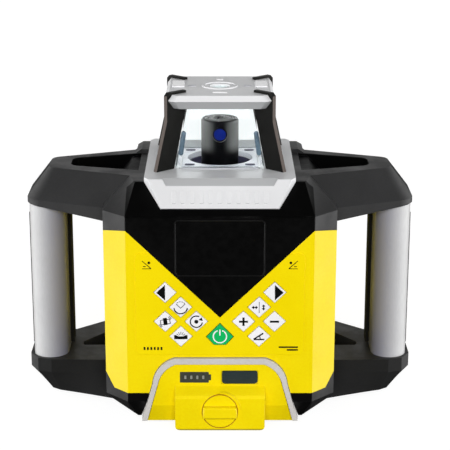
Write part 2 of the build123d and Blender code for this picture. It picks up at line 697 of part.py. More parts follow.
crown_slope = (CROWN_TOP_Z - FACE_TOP_Z) / (CASE_HALF - CROWN_HALF_Y)
collar_foot_z = FACE_TOP_Z + (CASE_HALF - COLLAR_FOOT_Y) * crown_slope
with BuildPart() as collar:
    with BuildSketch(Plane.YZ):
        Polygon(
            (-CROWN_HALF_Y, CROWN_TOP_Z),
            (-COLLAR_FOOT_Y, collar_foot_z),
            (-COLLAR_FOOT_Y - 0.6, collar_foot_z + 0.6),
            (-COLLAR_HALF_Y, COLLAR_TOP_Z),
            (COLLAR_HALF_Y, COLLAR_TOP_Z),
            (COLLAR_FOOT_Y + 0.6, collar_foot_z + 0.6),
            (COLLAR_FOOT_Y, collar_foot_z),
            (CROWN_HALF_Y, CROWN_TOP_Z),
            align=None,
        )
    extrude(amount=COLLAR_HALF_X, both=True)
    # Plan: full width beside the lantern, narrowing down both slopes
    with BuildSketch(Plane.XY.offset(FACE_TOP_Z)):
        Polygon(
            (COLLAR_HALF_X, -CROWN_HALF_Y),
            (COLLAR_HALF_X, CROWN_HALF_Y),
            (COLLAR_FOOT_HALF_X, COLLAR_FOOT_Y + 1),
            (-COLLAR_FOOT_HALF_X, COLLAR_FOOT_Y + 1),
            (-COLLAR_HALF_X, CROWN_HALF_Y),
            (-COLLAR_HALF_X, -CROWN_HALF_Y),
            (-COLLAR_FOOT_HALF_X, -COLLAR_FOOT_Y - 1),
            (COLLAR_FOOT_HALF_X, -COLLAR_FOOT_Y - 1),
            align=None,
        )
    extrude(amount=30, mode=Mode.INTERSECT)
    # Ramps down from the top, between the corners
    with BuildPart(mode=Mode.PRIVATE) as ramps:
        for facing in (-1, 1):
            with BuildSketch(Plane.YZ):
                Polygon(
                    (facing * COLLAR_RAMP_Y, COLLAR_TOP_Z),
                    (facing * (COLLAR_RAMP_Y + 10), COLLAR_TOP_Z - 10 * COLLAR_RAMP_SLOPE),
                    (facing * (COLLAR_RAMP_Y + 10), COLLAR_TOP_Z),
                    align=None,
                )
            extrude(amount=COLLAR_HALF_X, both=True)
        with BuildSketch(Plane.XY.offset(FACE_TOP_Z)):
            for facing in (-1, 1):
                Polygon(
                    (-37, facing * COLLAR_RAMP_Y),
                    (37, facing * COLLAR_RAMP_Y),
                    (31, facing * (COLLAR_RAMP_Y + 9)),
                    (-31, facing * (COLLAR_RAMP_Y + 9)),
                    align=None,
                )
        extrude(amount=30, mode=Mode.INTERSECT)
    add(ramps.part, mode=Mode.SUBTRACT)
    # Opening for the deck plate
    with BuildSketch(Plane.XY.offset(CROWN_TOP_Z)):
        Rectangle(2 * DECK_HALF_X, 2 * DECK_HALF_Y)
    extrude(amount=10, mode=Mode.SUBTRACT)
    # Plain grip ribs on the front slope
    face_fall = COLLAR_TOP_Z - collar_foot_z - 0.6
    face_depth = COLLAR_FOOT_Y + 0.6 - COLLAR_HALF_Y
    face_plane = Plane(
        origin=(0, -COLLAR_HALF_Y - 0.62 * face_depth, COLLAR_TOP_Z - 0.62 * face_fall),
        x_dir=(1, 0, 0),
        z_dir=(0, -face_fall, face_depth),
    )
    with BuildSketch(face_plane):
        with GridLocations(5.6, 1, COLLAR_RIBS, 1):
            RectangleRounded(2.6, 9, 0.8)
    extrude(amount=0.6)
write(collar, "collar")

with BuildPart() as deck_plate:
    with BuildSketch(Plane.XY.offset(CROWN_TOP_Z)):
        Rectangle(2 * DECK_HALF_X, 2 * DECK_HALF_Y)
        Circle(WELL_RADIUS, mode=Mode.SUBTRACT)
        with corners(DECK_SCREW_X, DECK_SCREW_Y):
            Circle(SCREW_RADIUS + 0.1, mode=Mode.SUBTRACT)
    extrude(amount=DECK_TOP_Z - CROWN_TOP_Z)
    with BuildSketch(Plane.XY.offset(DECK_TOP_Z - SCREW_HEAD_HEIGHT - 0.2)):
        with corners(DECK_SCREW_X, DECK_SCREW_Y):
            Circle(RECESS_RADIUS)
    extrude(amount=5, mode=Mode.SUBTRACT)
    chamfer(deck_plate.faces().sort_by(Axis.Z)[-1].outer_wire().edges(), 0.4)
write(deck_plate, "deck_plate")

with BuildPart() as well_boot:
    with BuildSketch(Plane.XZ):
        Polygon(
            (WELL_RADIUS - 1, CROWN_TOP_Z),
            (CROWN_HOLE_RADIUS - 0.2, CROWN_TOP_Z),
            (CROWN_HOLE_RADIUS - 0.2, CROWN_TOP_Z - 1.2),
            (WELL_RADIUS, CROWN_TOP_Z - 1.2),
            (WELL_RADIUS - 1.2, CROWN_TOP_Z - 4),
            (18.2, CROWN_TOP_Z - 3),
            (17.2, CROWN_TOP_Z - 6),
            (16.2, CROWN_TOP_Z - 6),
            (17.4, CROWN_TOP_Z - 1.6),
            (19.4, CROWN_TOP_Z - 2.6),
            align=None,
        )
    revolve(axis=Axis.Z)
write(well_boot, "well_boot")

# --------------------------------------------------------------------------------------------------
# Lantern: roof, roof lens, posts, glass and glazing strips
# --------------------------------------------------------------------------------------------------

with BuildPart() as lantern_roof:
    with BuildSketch(Plane.XY.offset(ROOF_BOTTOM_Z)):
        octagon(*ROOF_BOTTOM_HALF, *ROOF_CUT)
    with BuildSketch(Plane.XY.offset(ROOF_EDGE_Z)):
        octagon(*ROOF_EDGE_HALF, *ROOF_CUT)
    loft(ruled=True)
    with BuildSketch(Plane.XY.offset(ROOF_EDGE_Z)):
        octagon(*ROOF_EDGE_HALF, *ROOF_CUT)
    with BuildSketch(Plane.XY.offset(ROOF_TOP_Z)):
        octagon(*ROOF_TOP_HALF, *ROOF_CUT)
    loft(ruled=True)
    with BuildSketch(Plane.XY.offset(ROOF_TOP_Z)):
        # Ring round the plumb beam, sight bars on the left and right, a pointer in front and a dot behind
        Circle(11.5)
        Circle(9.5, mode=Mode.SUBTRACT)
        with Locations((26.4, 4), (-26.4, 4)):
            RectangleRounded(7.4, 18, 0.8)
        Polygon((-4.5, -22.5), (4.5, -22.5), (0, -14.5), align=None)
        with Locations((0, 20)):
            Circle(2.2)
    extrude(amount=0.7)
    with BuildSketch(Plane.XY.offset(ROOF_BOTTOM_Z)):
        Circle(ROOF_HOLE_RADIUS)
    extrude(amount=20, mode=Mode.SUBTRACT)
write(lantern_roof, "lantern_roof")

with BuildPart() as roof_lens:
    with BuildSketch(Plane.XY.offset(ROOF_TOP_Z - 3)):
        Circle(ROOF_HOLE_RADIUS)
    extrude(amount=2)
    chamfer(roof_lens.faces().sort_by(Axis.Z)[-1].edges(), 0.3)
write(roof_lens, "roof_lens")

POST_ANGLES = {
    "rear_right": POST_ANGLE,
    "rear_left": 180 - POST_ANGLE,
    "front_left": 180 + POST_ANGLE,
    "front_right": -POST_ANGLE,
}
for place, angle in POST_ANGLES.items():
    with BuildPart() as post:
        with BuildSketch(radial_plane(angle)):
            Polygon(
                (POST_FOOT_RADII[0], COLLAR_TOP_Z),
                (POST_FOOT_RADII[1], COLLAR_TOP_Z),
                (POST_HEAD_RADII[1], POST_KINK_Z),
                (POST_HEAD_RADII[1], ROOF_TOP_Z - 0.5),
                (POST_HEAD_RADII[1] - 2, ROOF_TOP_Z + FINGER_HEIGHT),
                (FINGER_RADIUS, ROOF_TOP_Z + FINGER_HEIGHT),
                (POST_HEAD_RADII[0], ROOF_BOTTOM_Z),
                align=None,
            )
        extrude(amount=POST_THICKNESS / 2, both=True)
        add(lantern_roof.part, mode=Mode.SUBTRACT)
    write(post, f"{place}_post")

with BuildPart() as lantern_glass:
    with BuildSketch(Plane.XY.offset(COLLAR_TOP_Z)):
        Rectangle(2 * GLASS_FOOT_HALF[0], 2 * GLASS_FOOT_HALF[1])
    with BuildSketch(Plane.XY.offset(ROOF_BOTTOM_Z)):
        Rectangle(2 * GLASS_HEAD_HALF[0], 2 * GLASS_HEAD_HALF[1])
    loft(ruled=True)
    with BuildSketch(Plane.XY.offset(COLLAR_TOP_Z)):
        Rectangle(2 * (GLASS_FOOT_HALF[0] - GLASS_THICKNESS), 2 * (GLASS_FOOT_HALF[1] - GLASS_THICKNESS))
    with BuildSketch(Plane.XY.offset(ROOF_BOTTOM_Z)):
        Rectangle(2 * (GLASS_HEAD_HALF[0] - GLASS_THICKNESS), 2 * (GLASS_HEAD_HALF[1] - GLASS_THICKNESS))
    loft(ruled=True, mode=Mode.SUBTRACT)
    # The panes meet at the posts, and the front and rear panes stand on the deck plate
    for angle in POST_ANGLES.values():
        with BuildSketch(radial_plane(angle)):
            with Locations((POST_HEAD_RADII[0] - 6, COLLAR_TOP_Z)):
                Rectangle(30, 50, align=Align.MIN)
        extrude(amount=POST_THICKNESS / 2, both=True, mode=Mode.SUBTRACT)
    with BuildSketch(Plane.XY.offset(CROWN_TOP_Z)):
        Rectangle(2 * DECK_HALF_X, 2 * DECK_HALF_Y)
    extrude(amount=DECK_TOP_Z - CROWN_TOP_Z, mode=Mode.SUBTRACT)
write(lantern_glass, "lantern_glass")

with BuildPart() as glazing_strips:
    # Rounded pads inside the front pane, at its edges
    lean = (GLASS_FOOT_HALF[1] - GLASS_HEAD_HALF[1]) / (ROOF_BOTTOM_Z - COLLAR_TOP_Z)
    pane = Plane(
        origin=(0, GLASS_THICKNESS + lean * (STRIP_Z - COLLAR_TOP_Z) - GLASS_FOOT_HALF[1], STRIP_Z),
        x_dir=(1, 0, 0),
        z_dir=(0, 1, -lean),
    )
    with BuildSketch(pane):
        for side in (-1, 1):
            with Locations((side * 23.6, 0)):
                SlotOverall(15.5, 3.0, rotation=90 - side * 8)
    extrude(amount=0.8)
write(glazing_strips, "glazing_strips")

# --------------------------------------------------------------------------------------------------
# Battery bay liner, battery, its lock knob and its port cover
# --------------------------------------------------------------------------------------------------

with BuildPart() as battery_bezel:
    with BuildSketch(front(BAY_BACK - BAY_WALL)):
        arch(0, 5.2)
    extrude(amount=BEZEL_FRONT - BAY_BACK + BAY_WALL)
    with BuildSketch(front(BAY_BACK)):
        arch(BEZEL_WIDTH, 0)
    extrude(amount=BEZEL_FRONT, mode=Mode.SUBTRACT)
    # Reveal round the visible edge
    with BuildSketch(front(CASE_HALF - 1.5)):
        arch(-2, 0)
        with BuildSketch(mode=Mode.PRIVATE) as visible_edge:
            arch(0.35, 0)
        add(visible_edge.sketch, mode=Mode.SUBTRACT)
    extrude(amount=10, mode=Mode.SUBTRACT)
    # Rails that guide the battery
    with BuildSketch(front(BAY_BACK)):
        for side in (-1, 1):
            with Locations((side * 43.9, RAIL_Z)):
                Rectangle(2.6, 2)
    extrude(amount=CASE_HALF - BAY_BACK - 5)
write(battery_bezel, "battery_bezel")

with BuildPart() as contact_block:
    with BuildSketch(front(BAY_BACK)):
        with Locations((0, CELL_Z)):
            Rectangle(24, 8)
    extrude(amount=1.2)
    with BuildSketch(front(BAY_BACK + 1.2)):
        with Locations((0, CELL_Z)):
            with GridLocations(6, 1, 4, 1):
                Circle(1.2)
    extrude(amount=0.5)
write(contact_block, "contact_block")

with BuildPart() as battery_case:
    with BuildSketch(front(BATTERY_BACK)):
        arch(BATTERY_INSET, WING_BOTTOM_Z)
    extrude(amount=BATTERY_FRONT - BATTERY_BACK)
    # The wings fold back at the bottom
    with BuildSketch(Plane.YZ):
        Polygon(
            (-BATTERY_FRONT, WING_FOLD_Z),
            (-BATTERY_FRONT + 3.6, WING_BOTTOM_Z),
            (-BATTERY_FRONT, WING_BOTTOM_Z),
            align=None,
        )
    extrude(amount=60, both=True, mode=Mode.SUBTRACT)
    # Block that carries the knob
    with BuildSketch(Plane.YZ):
        Polygon(
            (-BATTERY_FRONT + 1, 29),
            (-BATTERY_FRONT, 28.5),
            (-BLOCK_FRONT + 0.8, 24.5),
            (-BLOCK_FRONT, 22.5),
            (-BLOCK_FRONT, 2.4),
            (-BLOCK_FRONT + 1.6, BLOCK_BOTTOM_Z),
            (-BATTERY_BACK - 3, BLOCK_BOTTOM_Z),
            (-BATTERY_BACK - 3, WING_BOTTOM_Z + 1),
            (-BATTERY_FRONT + 4, WING_BOTTOM_Z + 1),
            align=None,
        )
    extrude(amount=BLOCK_HALF_X, both=True)
    block_corners = battery_case.edges().filter_by(Axis.Y).filter_by(
        lambda edge: abs(abs(edge.center().X) - BLOCK_HALF_X) < 0.1 and edge.center().Z < 1.5
    )
    fillet(block_corners, 3.4)
    # Room for the cells and the lock
    with BuildSketch(front(BATTERY_BACK + BATTERY_WALL)):
        arch(BATTERY_INSET + BATTERY_WALL, WING_BOTTOM_Z + BATTERY_WALL)
    extrude(amount=BATTERY_FRONT - BATTERY_BACK - 2 * BATTERY_WALL - 1.6, mode=Mode.SUBTRACT)
    with BuildSketch(front(BATTERY_FRONT - 4)):
        with Locations((0, 22)):
            Rectangle(2 * BLOCK_HALF_X - 6, 29)
    extrude(amount=2.2, mode=Mode.SUBTRACT)
    # Knob seat and shaft bore
    with BuildSketch(front(BLOCK_FRONT - 3)):
        with Locations((0, KNOB_Z)):
            Circle(KNOB_RADIUS + 0.3)
    extrude(amount=5, mode=Mode.SUBTRACT)
    with BuildSketch(front(BATTERY_FRONT - 4)):
        with Locations((0, KNOB_Z)):
            Circle(3 + RUNNING_GAP)
    extrude(amount=10, mode=Mode.SUBTRACT)
    # Seats of the charge gauge, the charge socket and the port cover
    with BuildSketch(front(BATTERY_FRONT - 0.8)):
        with Locations((-15.9, 34.2)):
            RectangleRounded(18.0, 7.2, 0.5)
    extrude(amount=1, mode=Mode.SUBTRACT)
    with BuildSketch(front(BATTERY_FRONT - 1.1)):
        with Locations((12.3, 34.2)):
            Rectangle(22.6, 9.0)
    extrude(amount=2, mode=Mode.SUBTRACT)
    with BuildSketch(front(BATTERY_FRONT - 4)):
        with Locations((12.3, 34.4)):
            Rectangle(9, 6.4)
    extrude(amount=5, mode=Mode.SUBTRACT)
    # Guide grooves
    with BuildSketch(front(BATTERY_BACK)):
        for side in (-1, 1):
            with Locations((side * 43.6, RAIL_Z)):
                Rectangle(3.9, 2.6)
    extrude(amount=CASE_HALF - BATTERY_BACK - 4, mode=Mode.SUBTRACT)
write(battery_case, "battery_case")

with BuildPart() as battery_cells:
    for cell_y in (-59.4, -41.35):
        with BuildSketch(Plane.YZ.offset(-CELL_LENGTH / 2)):
            with Locations((cell_y, CELL_Z)):
                Circle(CELL_RADIUS - 0.05)
        extrude(amount=CELL_LENGTH)
write(battery_cells, "battery_cells")

with BuildPart() as gauge_window:
    with BuildSketch(front(BATTERY_FRONT - 0.8)):
        with Locations((-15.9, 34.2)):
            RectangleRounded(18.0, 7.2, 0.5)
    extrude(amount=0.8)
write(gauge_window, "gauge_window")

with BuildPart() as charge_socket:
    with BuildSketch(front(BATTERY_FRONT - 4.4)):
        with Locations((12.3, 34.4)):
            Rectangle(9, 6.4)
            Circle(2.4, mode=Mode.SUBTRACT)
    extrude(amount=3.0)
    with BuildSketch(front(BATTERY_FRONT - 4.4)):
        with Locations((12.3, 34.4)):
            Circle(0.9)
    extrude(amount=2.6)
    with BuildSketch(front(BATTERY_FRONT - 4.4)):
        with Locations((12.3, 34.4)):
            Circle(2.4)
    extrude(amount=0.6)
write(charge_socket, "charge_socket")

with BuildPart() as port_cover:
    hinge_z = 30.6
    with BuildSketch(front(BATTERY_FRONT - 0.7)):
        with Locations((12.3, (hinge_z + 38.4) / 2)):
            Rectangle(22.0, 38.4 - hinge_z)
    extrude(amount=1.2)
    fillet(port_cover.edges().filter_by(Axis.Y), 1.2)
    with BuildSketch(Plane.YZ.offset(2.8)):
        with Locations((-BATTERY_FRONT + 0.1, hinge_z)):
            Circle(0.6)
    extrude(amount=19.0)
write(port_cover, "port_cover")

with BuildPart() as lock_knob:
    with BuildSketch(front(BLOCK_FRONT - 2.8)):
        with Locations((0, KNOB_Z)):
            Circle(KNOB_RADIUS)
    extrude(amount=2.8)
    with BuildSketch(front(BLOCK_FRONT)):
        with Locations((0, KNOB_Z)):
            Circle(KNOB_RADIUS)
            Rectangle(30, 7.3, mode=Mode.INTERSECT)
    extrude(amount=4)
    chamfer(lock_knob.faces().sort_by(Axis.Y)[0].edges(), 0.8)
    with BuildSketch(front(BATTERY_FRONT - 3.6)):
        with Locations((0, KNOB_Z)):
            Circle(3)
    extrude(amount=BLOCK_FRONT - BATTERY_FRONT + 1)
write(lock_knob, "lock_knob")

with BuildPart() as lock_latch:
    with BuildSketch(front(BATTERY_FRONT - 3.6)):
        with Locations((0, KNOB_Z)):
            Circle(5)
            with Locations((0, 4.2)):
                Rectangle(5, 8.4)
            Circle(3, mode=Mode.SUBTRACT)
    extrude(amount=1.4)
write(lock_latch, "lock_latch")

# --------------------------------------------------------------------------------------------------
# Tripod insert, feet, screws, inner frame, levelling motors and main board
# --------------------------------------------------------------------------------------------------

with BuildPart() as tripod_insert:
    with BuildSketch():
        Circle(INSERT_FLANGE_RADIUS)
    extrude(amount=INSERT_FLANGE_THICKNESS)
    chamfer(tripod_insert.faces().sort_by(Axis.Z)[0].edges(), 0.5)
    with BuildSketch():
        Circle(INSERT_BOSS_RADIUS)
    extrude(amount=THREAD_LENGTH + 3)
    with BuildSketch():
        Circle(THREAD_RADIUS)
    extrude(amount=THREAD_LENGTH, mode=Mode.SUBTRACT)
write(tripod_insert, "tripod_insert")

with BuildPart() as feet:
    with BuildSketch():
        with corners(54, 41):
            Circle(4.5)
    extrude(amount=FOOT_HEIGHT)
write(feet, "feet")

with BuildPart() as screws:
    # Four hold the deck plate from above, and four hold the base from below
    head_undersides = (
        (DECK_SCREW_X, DECK_SCREW_Y, DECK_TOP_Z - SCREW_HEAD_HEIGHT - 0.2, -1),
        (CASE_SCREW_X, CASE_SCREW_Y, BOSS_SEAM_Z - 5, 1),
    )
    for screw_x, screw_y, seat_z, direction in head_undersides:
        with BuildSketch(Plane.XY.offset(seat_z)):
            with corners(screw_x, screw_y):
                Circle(SCREW_RADIUS)
        extrude(amount=direction * SCREW_LENGTH)
        with BuildSketch(Plane.XY.offset(seat_z)):
            with corners(screw_x, screw_y):
                Circle(SCREW_HEAD_RADIUS)
        extrude(amount=-direction * SCREW_HEAD_HEIGHT)
        with BuildSketch(Plane.XY.offset(seat_z - direction * SCREW_HEAD_HEIGHT)):
            with corners(screw_x, screw_y):
                RegularPolygon(1.1, 6)
        extrude(amount=direction * 1.1, mode=Mode.SUBTRACT)
write(screws, "screws")

with BuildPart() as inner_frame:
    with BuildSketch(Plane.XY.offset(FOOT_HEIGHT + FLOOR)):
        Rectangle(116, 48)
        Circle(INSERT_BOSS_RADIUS + 2, mode=Mode.SUBTRACT)
    extrude(amount=3)
    with BuildSketch(Plane.XZ):
        for side in (-1, 1):
            with Locations((side * (FRAME_UPRIGHT_X + FRAME_UPRIGHT_THICKNESS / 2), 5)):
                Rectangle(FRAME_UPRIGHT_THICKNESS, PIVOT_Z + 3, align=(Align.CENTER, Align.MIN))
    extrude(amount=12, both=True)
    with BuildSketch(Plane.YZ):
        with Locations((0, PIVOT_Z)):
            Circle(PIN_RADIUS + RUNNING_GAP)
    extrude(amount=60, both=True, mode=Mode.SUBTRACT)
write(inner_frame, "inner_frame")

with BuildPart() as leveling_motors:
    with BuildSketch(Plane.XY.offset(FOOT_HEIGHT + FLOOR)):
        with Locations((30, 44), (-30, 44)):
            Circle(8)
    extrude(amount=30)
    with BuildSketch(Plane.XY.offset(FOOT_HEIGHT + FLOOR)):
        with Locations((30, 44), (-30, 44)):
            Circle(2)
    extrude(amount=93)
    with BuildSketch(Plane.XY.offset(84)):
        with Locations((30, 44), (-30, 44)):
            RectangleRounded(11, 11, 1.5)
    extrude(amount=6)
write(leveling_motors, "leveling_motors")

with BuildPart() as main_board:
    with BuildSketch(front(-59.6)):
        with Locations((0, 77)):
            Rectangle(94, 80)
    extrude(amount=BOARD_THICKNESS)
    with BuildSketch(front(-58)):
        with Locations((-18, 92)):
            Rectangle(16, 16)
        with Locations((14, 96), (14, 82)):
            Rectangle(9, 7)
        with Locations((-20, 62)):
            Rectangle(30, 6)
    extrude(amount=2)
    with BuildSketch(front(-58)):
        with Locations((22, 58), (32, 58)):
            Circle(4)
    extrude(amount=8)
write(main_board, "main_board")

# --------------------------------------------------------------------------------------------------
# Gimbal: the ring turns in the inner frame about X, and the optics turn in the ring about Y
# --------------------------------------------------------------------------------------------------

with BuildPart() as gimbal_ring:
    with BuildSketch(Plane.XY.offset(PIVOT_Z - RING_HEIGHT / 2)):
        Circle(RING_OUTER_RADIUS)
        Circle(RING_INNER_RADIUS, mode=Mode.SUBTRACT)
    extrude(amount=RING_HEIGHT)
    for side in (-1, 1):
        with BuildSketch(Plane.YZ.offset(side * (RING_OUTER_RADIUS - 1))):
            with Locations((0, PIVOT_Z)):
                Circle(PIN_RADIUS)
        extrude(amount=side * 10)
        with BuildSketch(front(side * (RING_INNER_RADIUS + 1))):
            with Locations((0, PIVOT_Z)):
                Circle(PIN_RADIUS)
        extrude(amount=-side * 10)
write(gimbal_ring, "gimbal_ring")

with BuildPart() as optics_housing:
    with BuildSketch(Plane.XY.offset(OPTICS_BOTTOM_Z)):
        Circle(OPTICS_RADIUS)
    extrude(amount=OPTICS_TOP_Z - OPTICS_BOTTOM_Z)
    # Flange that carries the drive motor
    with BuildSketch(Plane.XY.offset(OPTICS_TOP_Z - 2)):
        Circle(OPTICS_RADIUS + 2)
        with Locations((MOTOR_X, 0)):
            Circle(MOTOR_RADIUS + 2)
        make_hull()
    extrude(amount=2)
    # Ears for the ring's pins
    with BuildSketch(Plane.XY.offset(PIVOT_Z - 5)):
        Rectangle(12, 68)
    extrude(amount=10)
    with BuildSketch(Plane.XZ):
        with Locations((0, PIVOT_Z)):
            Circle(PIN_RADIUS + RUNNING_GAP)
    extrude(amount=40, both=True, mode=Mode.SUBTRACT)
    # Bore for the laser and the bearings, and the clearance of the spindle and of the motor's shaft
    with BuildSketch(Plane.XY.offset(OPTICS_BOTTOM_Z)):
        Circle(OPTICS_BORE)
    extrude(amount=OPTICS_TOP_Z - OPTICS_BOTTOM_Z - 2, mode=Mode.SUBTRACT)
    with BuildSketch(Plane.XY.offset(OPTICS_BOTTOM_Z)):
        Circle(SPINDLE_RADIUS + 0.6)
        with Locations((MOTOR_X, 0)):
            Circle(1.6)
    extrude(amount=OPTICS_TOP_Z, mode=Mode.SUBTRACT)
write(optics_housing, "optics_housing")

with BuildPart() as laser_module:
    with BuildSketch(Plane.XY.offset(OPTICS_BOTTOM_Z + 2)):
        Circle(OPTICS_BORE)
    extrude(amount=30)
    with BuildSketch(Plane.XY.offset(OPTICS_BOTTOM_Z + 32)):
        Circle(8)
    extrude(amount=8)
    with BuildSketch(Plane.XY.offset(OPTICS_BOTTOM_Z + 38)):
        Circle(5)
    extrude(amount=5, mode=Mode.SUBTRACT)
write(laser_module, "laser_module")

with BuildPart() as spindle_bearings:
    for bearing_z in BEARING_Z:
        with BuildSketch(Plane.XY.offset(bearing_z)):
            Circle(OPTICS_BORE)
            Circle(SPINDLE_RADIUS + RUNNING_GAP, mode=Mode.SUBTRACT)
        extrude(amount=BEARING_WIDTH)
write(spindle_bearings, "spindle_bearings")

with BuildPart() as drive_motor:
    with BuildSketch(Plane.XY.offset(OPTICS_TOP_Z - 24)):
        with Locations((MOTOR_X, 0)):
            Circle(MOTOR_RADIUS)
    extrude(amount=22)
    with BuildSketch(Plane.XY.offset(OPTICS_TOP_Z - 8)):
        with Locations((MOTOR_X, 0)):
            Circle(1 + RUNNING_GAP)
    extrude(amount=6, mode=Mode.SUBTRACT)
write(drive_motor, "drive_motor")

# --------------------------------------------------------------------------------------------------
# Belt drive and rotor
# --------------------------------------------------------------------------------------------------

belt_bottom_z = PULLEY_BOTTOM_Z + PULLEY_FLANGE + 0.1
pulley_height = BELT_WIDTH + 2 * PULLEY_FLANGE + 0.2
with BuildPart() as drive_belt:
    for growth, belt_mode in ((BELT_THICKNESS, Mode.ADD), (0, Mode.SUBTRACT)):
        with BuildSketch(Plane.XY.offset(belt_bottom_z)):
            Circle(ROTOR_GROOVE_RADIUS + RUNNING_GAP + growth)
            with Locations((MOTOR_X, 0)):
                Circle(MOTOR_GROOVE_RADIUS + RUNNING_GAP + growth)
            make_hull()
        extrude(amount=BELT_WIDTH, mode=belt_mode)
write(drive_belt, "drive_belt")

with BuildPart() as rotor_pulley:
    with BuildSketch(Plane.XY.offset(PULLEY_BOTTOM_Z)):
        Circle(ROTOR_GROOVE_RADIUS + 1.4)
    extrude(amount=pulley_height)
    with BuildSketch(Plane.XY.offset(PULLEY_BOTTOM_Z + PULLEY_FLANGE)):
        Circle(ROTOR_GROOVE_RADIUS + 2)
        Circle(ROTOR_GROOVE_RADIUS, mode=Mode.SUBTRACT)
    extrude(amount=BELT_WIDTH + 0.2, mode=Mode.SUBTRACT)
    with BuildSketch(Plane.XY.offset(PULLEY_BOTTOM_Z)):
        Circle(SPINDLE_RADIUS)
    extrude(amount=pulley_height, mode=Mode.SUBTRACT)
write(rotor_pulley, "rotor_pulley")

with BuildPart() as motor_pulley:
    with BuildSketch(Plane.XY.offset(PULLEY_BOTTOM_Z)):
        with Locations((MOTOR_X, 0)):
            Circle(MOTOR_GROOVE_RADIUS + 1.2)
    extrude(amount=pulley_height)
    with BuildSketch(Plane.XY.offset(PULLEY_BOTTOM_Z + PULLEY_FLANGE)):
        with Locations((MOTOR_X, 0)):
            Circle(MOTOR_GROOVE_RADIUS + 2)
            Circle(MOTOR_GROOVE_RADIUS, mode=Mode.SUBTRACT)
    extrude(amount=BELT_WIDTH + 0.2, mode=Mode.SUBTRACT)
    with BuildSketch(Plane.XY.offset(OPTICS_TOP_Z - 7)):
        with Locations((MOTOR_X, 0)):
            Circle(1)
    extrude(amount=9)
write(motor_pulley, "motor_pulley")

with BuildPart() as spindle:
    with BuildSketch(Plane.XY.offset(BEARING_Z[0] - 2)):
        Circle(SPINDLE_RADIUS)
    extrude(amount=PRISM_BOTTOM_Z - 2 - BEARING_Z[0])
    with BuildSketch(Plane.XY.offset(OPTICS_TOP_Z + 0.4)):
        Circle(SPINDLE_RADIUS + 2)
    extrude(amount=PULLEY_BOTTOM_Z - OPTICS_TOP_Z - 0.4)
    with BuildSketch(Plane.XY.offset(BEARING_Z[0] - 2)):
        Circle(SPINDLE_RADIUS - 2)
    extrude(amount=PRISM_BOTTOM_Z, mode=Mode.SUBTRACT)
write(spindle, "spindle")

with BuildPart() as rotor_head:
    with BuildSketch(Plane.XY.offset(ROTOR_BOTTOM_Z)):
        Circle(ROTOR_RADIUS)
    extrude(amount=ROTOR_TOP_Z - ROTOR_BOTTOM_Z)
    fillet(rotor_head.faces().sort_by(Axis.Z)[-1].edges(), 1.4)
    with BuildSketch(Plane.XY.offset(ROTOR_BOTTOM_Z)):
        Circle(SPINDLE_RADIUS)
    extrude(amount=PRISM_BOTTOM_Z - ROTOR_BOTTOM_Z, mode=Mode.SUBTRACT)
    with BuildSketch(Plane.XY.offset(PRISM_BOTTOM_Z)):
        Circle(8.5)
    extrude(amount=PRISM_SIDE + 1.5, mode=Mode.SUBTRACT)
    # Plumb opening and two slots in the top
    with BuildSketch(Plane.XY.offset(PRISM_BOTTOM_Z)):
        Circle(4.5)
        with Locations((7.4, 0), (-7.4, 0)):
            SlotOverall(4, 1.6, rotation=90)
    extrude(amount=20, mode=Mode.SUBTRACT)
    # Beam window with a shallow rim
    with BuildSketch(front(0)):
        with Locations((0, ROTOR_WINDOW_Z)):
            Circle(ROTOR_WINDOW_RADIUS)
    extrude(amount=ROTOR_RADIUS + 1, mode=Mode.SUBTRACT)
    with BuildSketch(front(ROTOR_RADIUS - 1.2)):
        with Locations((0, ROTOR_WINDOW_Z)):
            Circle(ROTOR_WINDOW_RADIUS + 0.9)
    extrude(amount=3, mode=Mode.SUBTRACT)
write(rotor_head, "rotor_head")

with BuildPart() as rotor_window:
    with BuildSketch(front(8.6)):
        with Locations((0, ROTOR_WINDOW_Z)):
            Circle(ROTOR_WINDOW_RADIUS)
    extrude(amount=2.4)
write(rotor_window, "rotor_window")

with BuildPart() as pentaprism:
    with BuildSketch(Plane.XY.offset(PRISM_BOTTOM_Z)):
        Rectangle(PRISM_SIDE, PRISM_SIDE)
    extrude(amount=PRISM_SIDE)
write(pentaprism, "pentaprism")
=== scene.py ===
"""Looks of the rotating laser level: a material for every CAD part, printed key icons and small trim, a white
studio and the camera."""

import json
from math import cos, radians, sin

import bmesh
import bpy
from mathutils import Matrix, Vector


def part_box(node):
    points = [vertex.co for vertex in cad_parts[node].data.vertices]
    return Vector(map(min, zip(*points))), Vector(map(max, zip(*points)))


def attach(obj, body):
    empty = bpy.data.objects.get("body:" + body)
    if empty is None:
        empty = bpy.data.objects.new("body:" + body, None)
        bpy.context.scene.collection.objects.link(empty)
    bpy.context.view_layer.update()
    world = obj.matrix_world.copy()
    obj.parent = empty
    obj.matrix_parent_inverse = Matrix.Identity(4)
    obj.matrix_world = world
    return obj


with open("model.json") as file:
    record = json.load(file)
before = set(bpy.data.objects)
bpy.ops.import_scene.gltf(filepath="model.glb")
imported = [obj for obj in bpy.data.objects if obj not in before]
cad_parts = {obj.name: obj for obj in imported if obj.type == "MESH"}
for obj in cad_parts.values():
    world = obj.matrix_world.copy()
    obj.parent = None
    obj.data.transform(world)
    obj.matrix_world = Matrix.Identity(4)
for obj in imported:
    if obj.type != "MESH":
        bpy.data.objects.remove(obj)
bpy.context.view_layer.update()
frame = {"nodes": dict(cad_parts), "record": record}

MM = 0.001

# Thin plates, in millimetres: how far a print stands proud, and how deep a plate reaches into its part
PRINT_THICKNESS = 0.08
PLATE_SUNK = 0.02

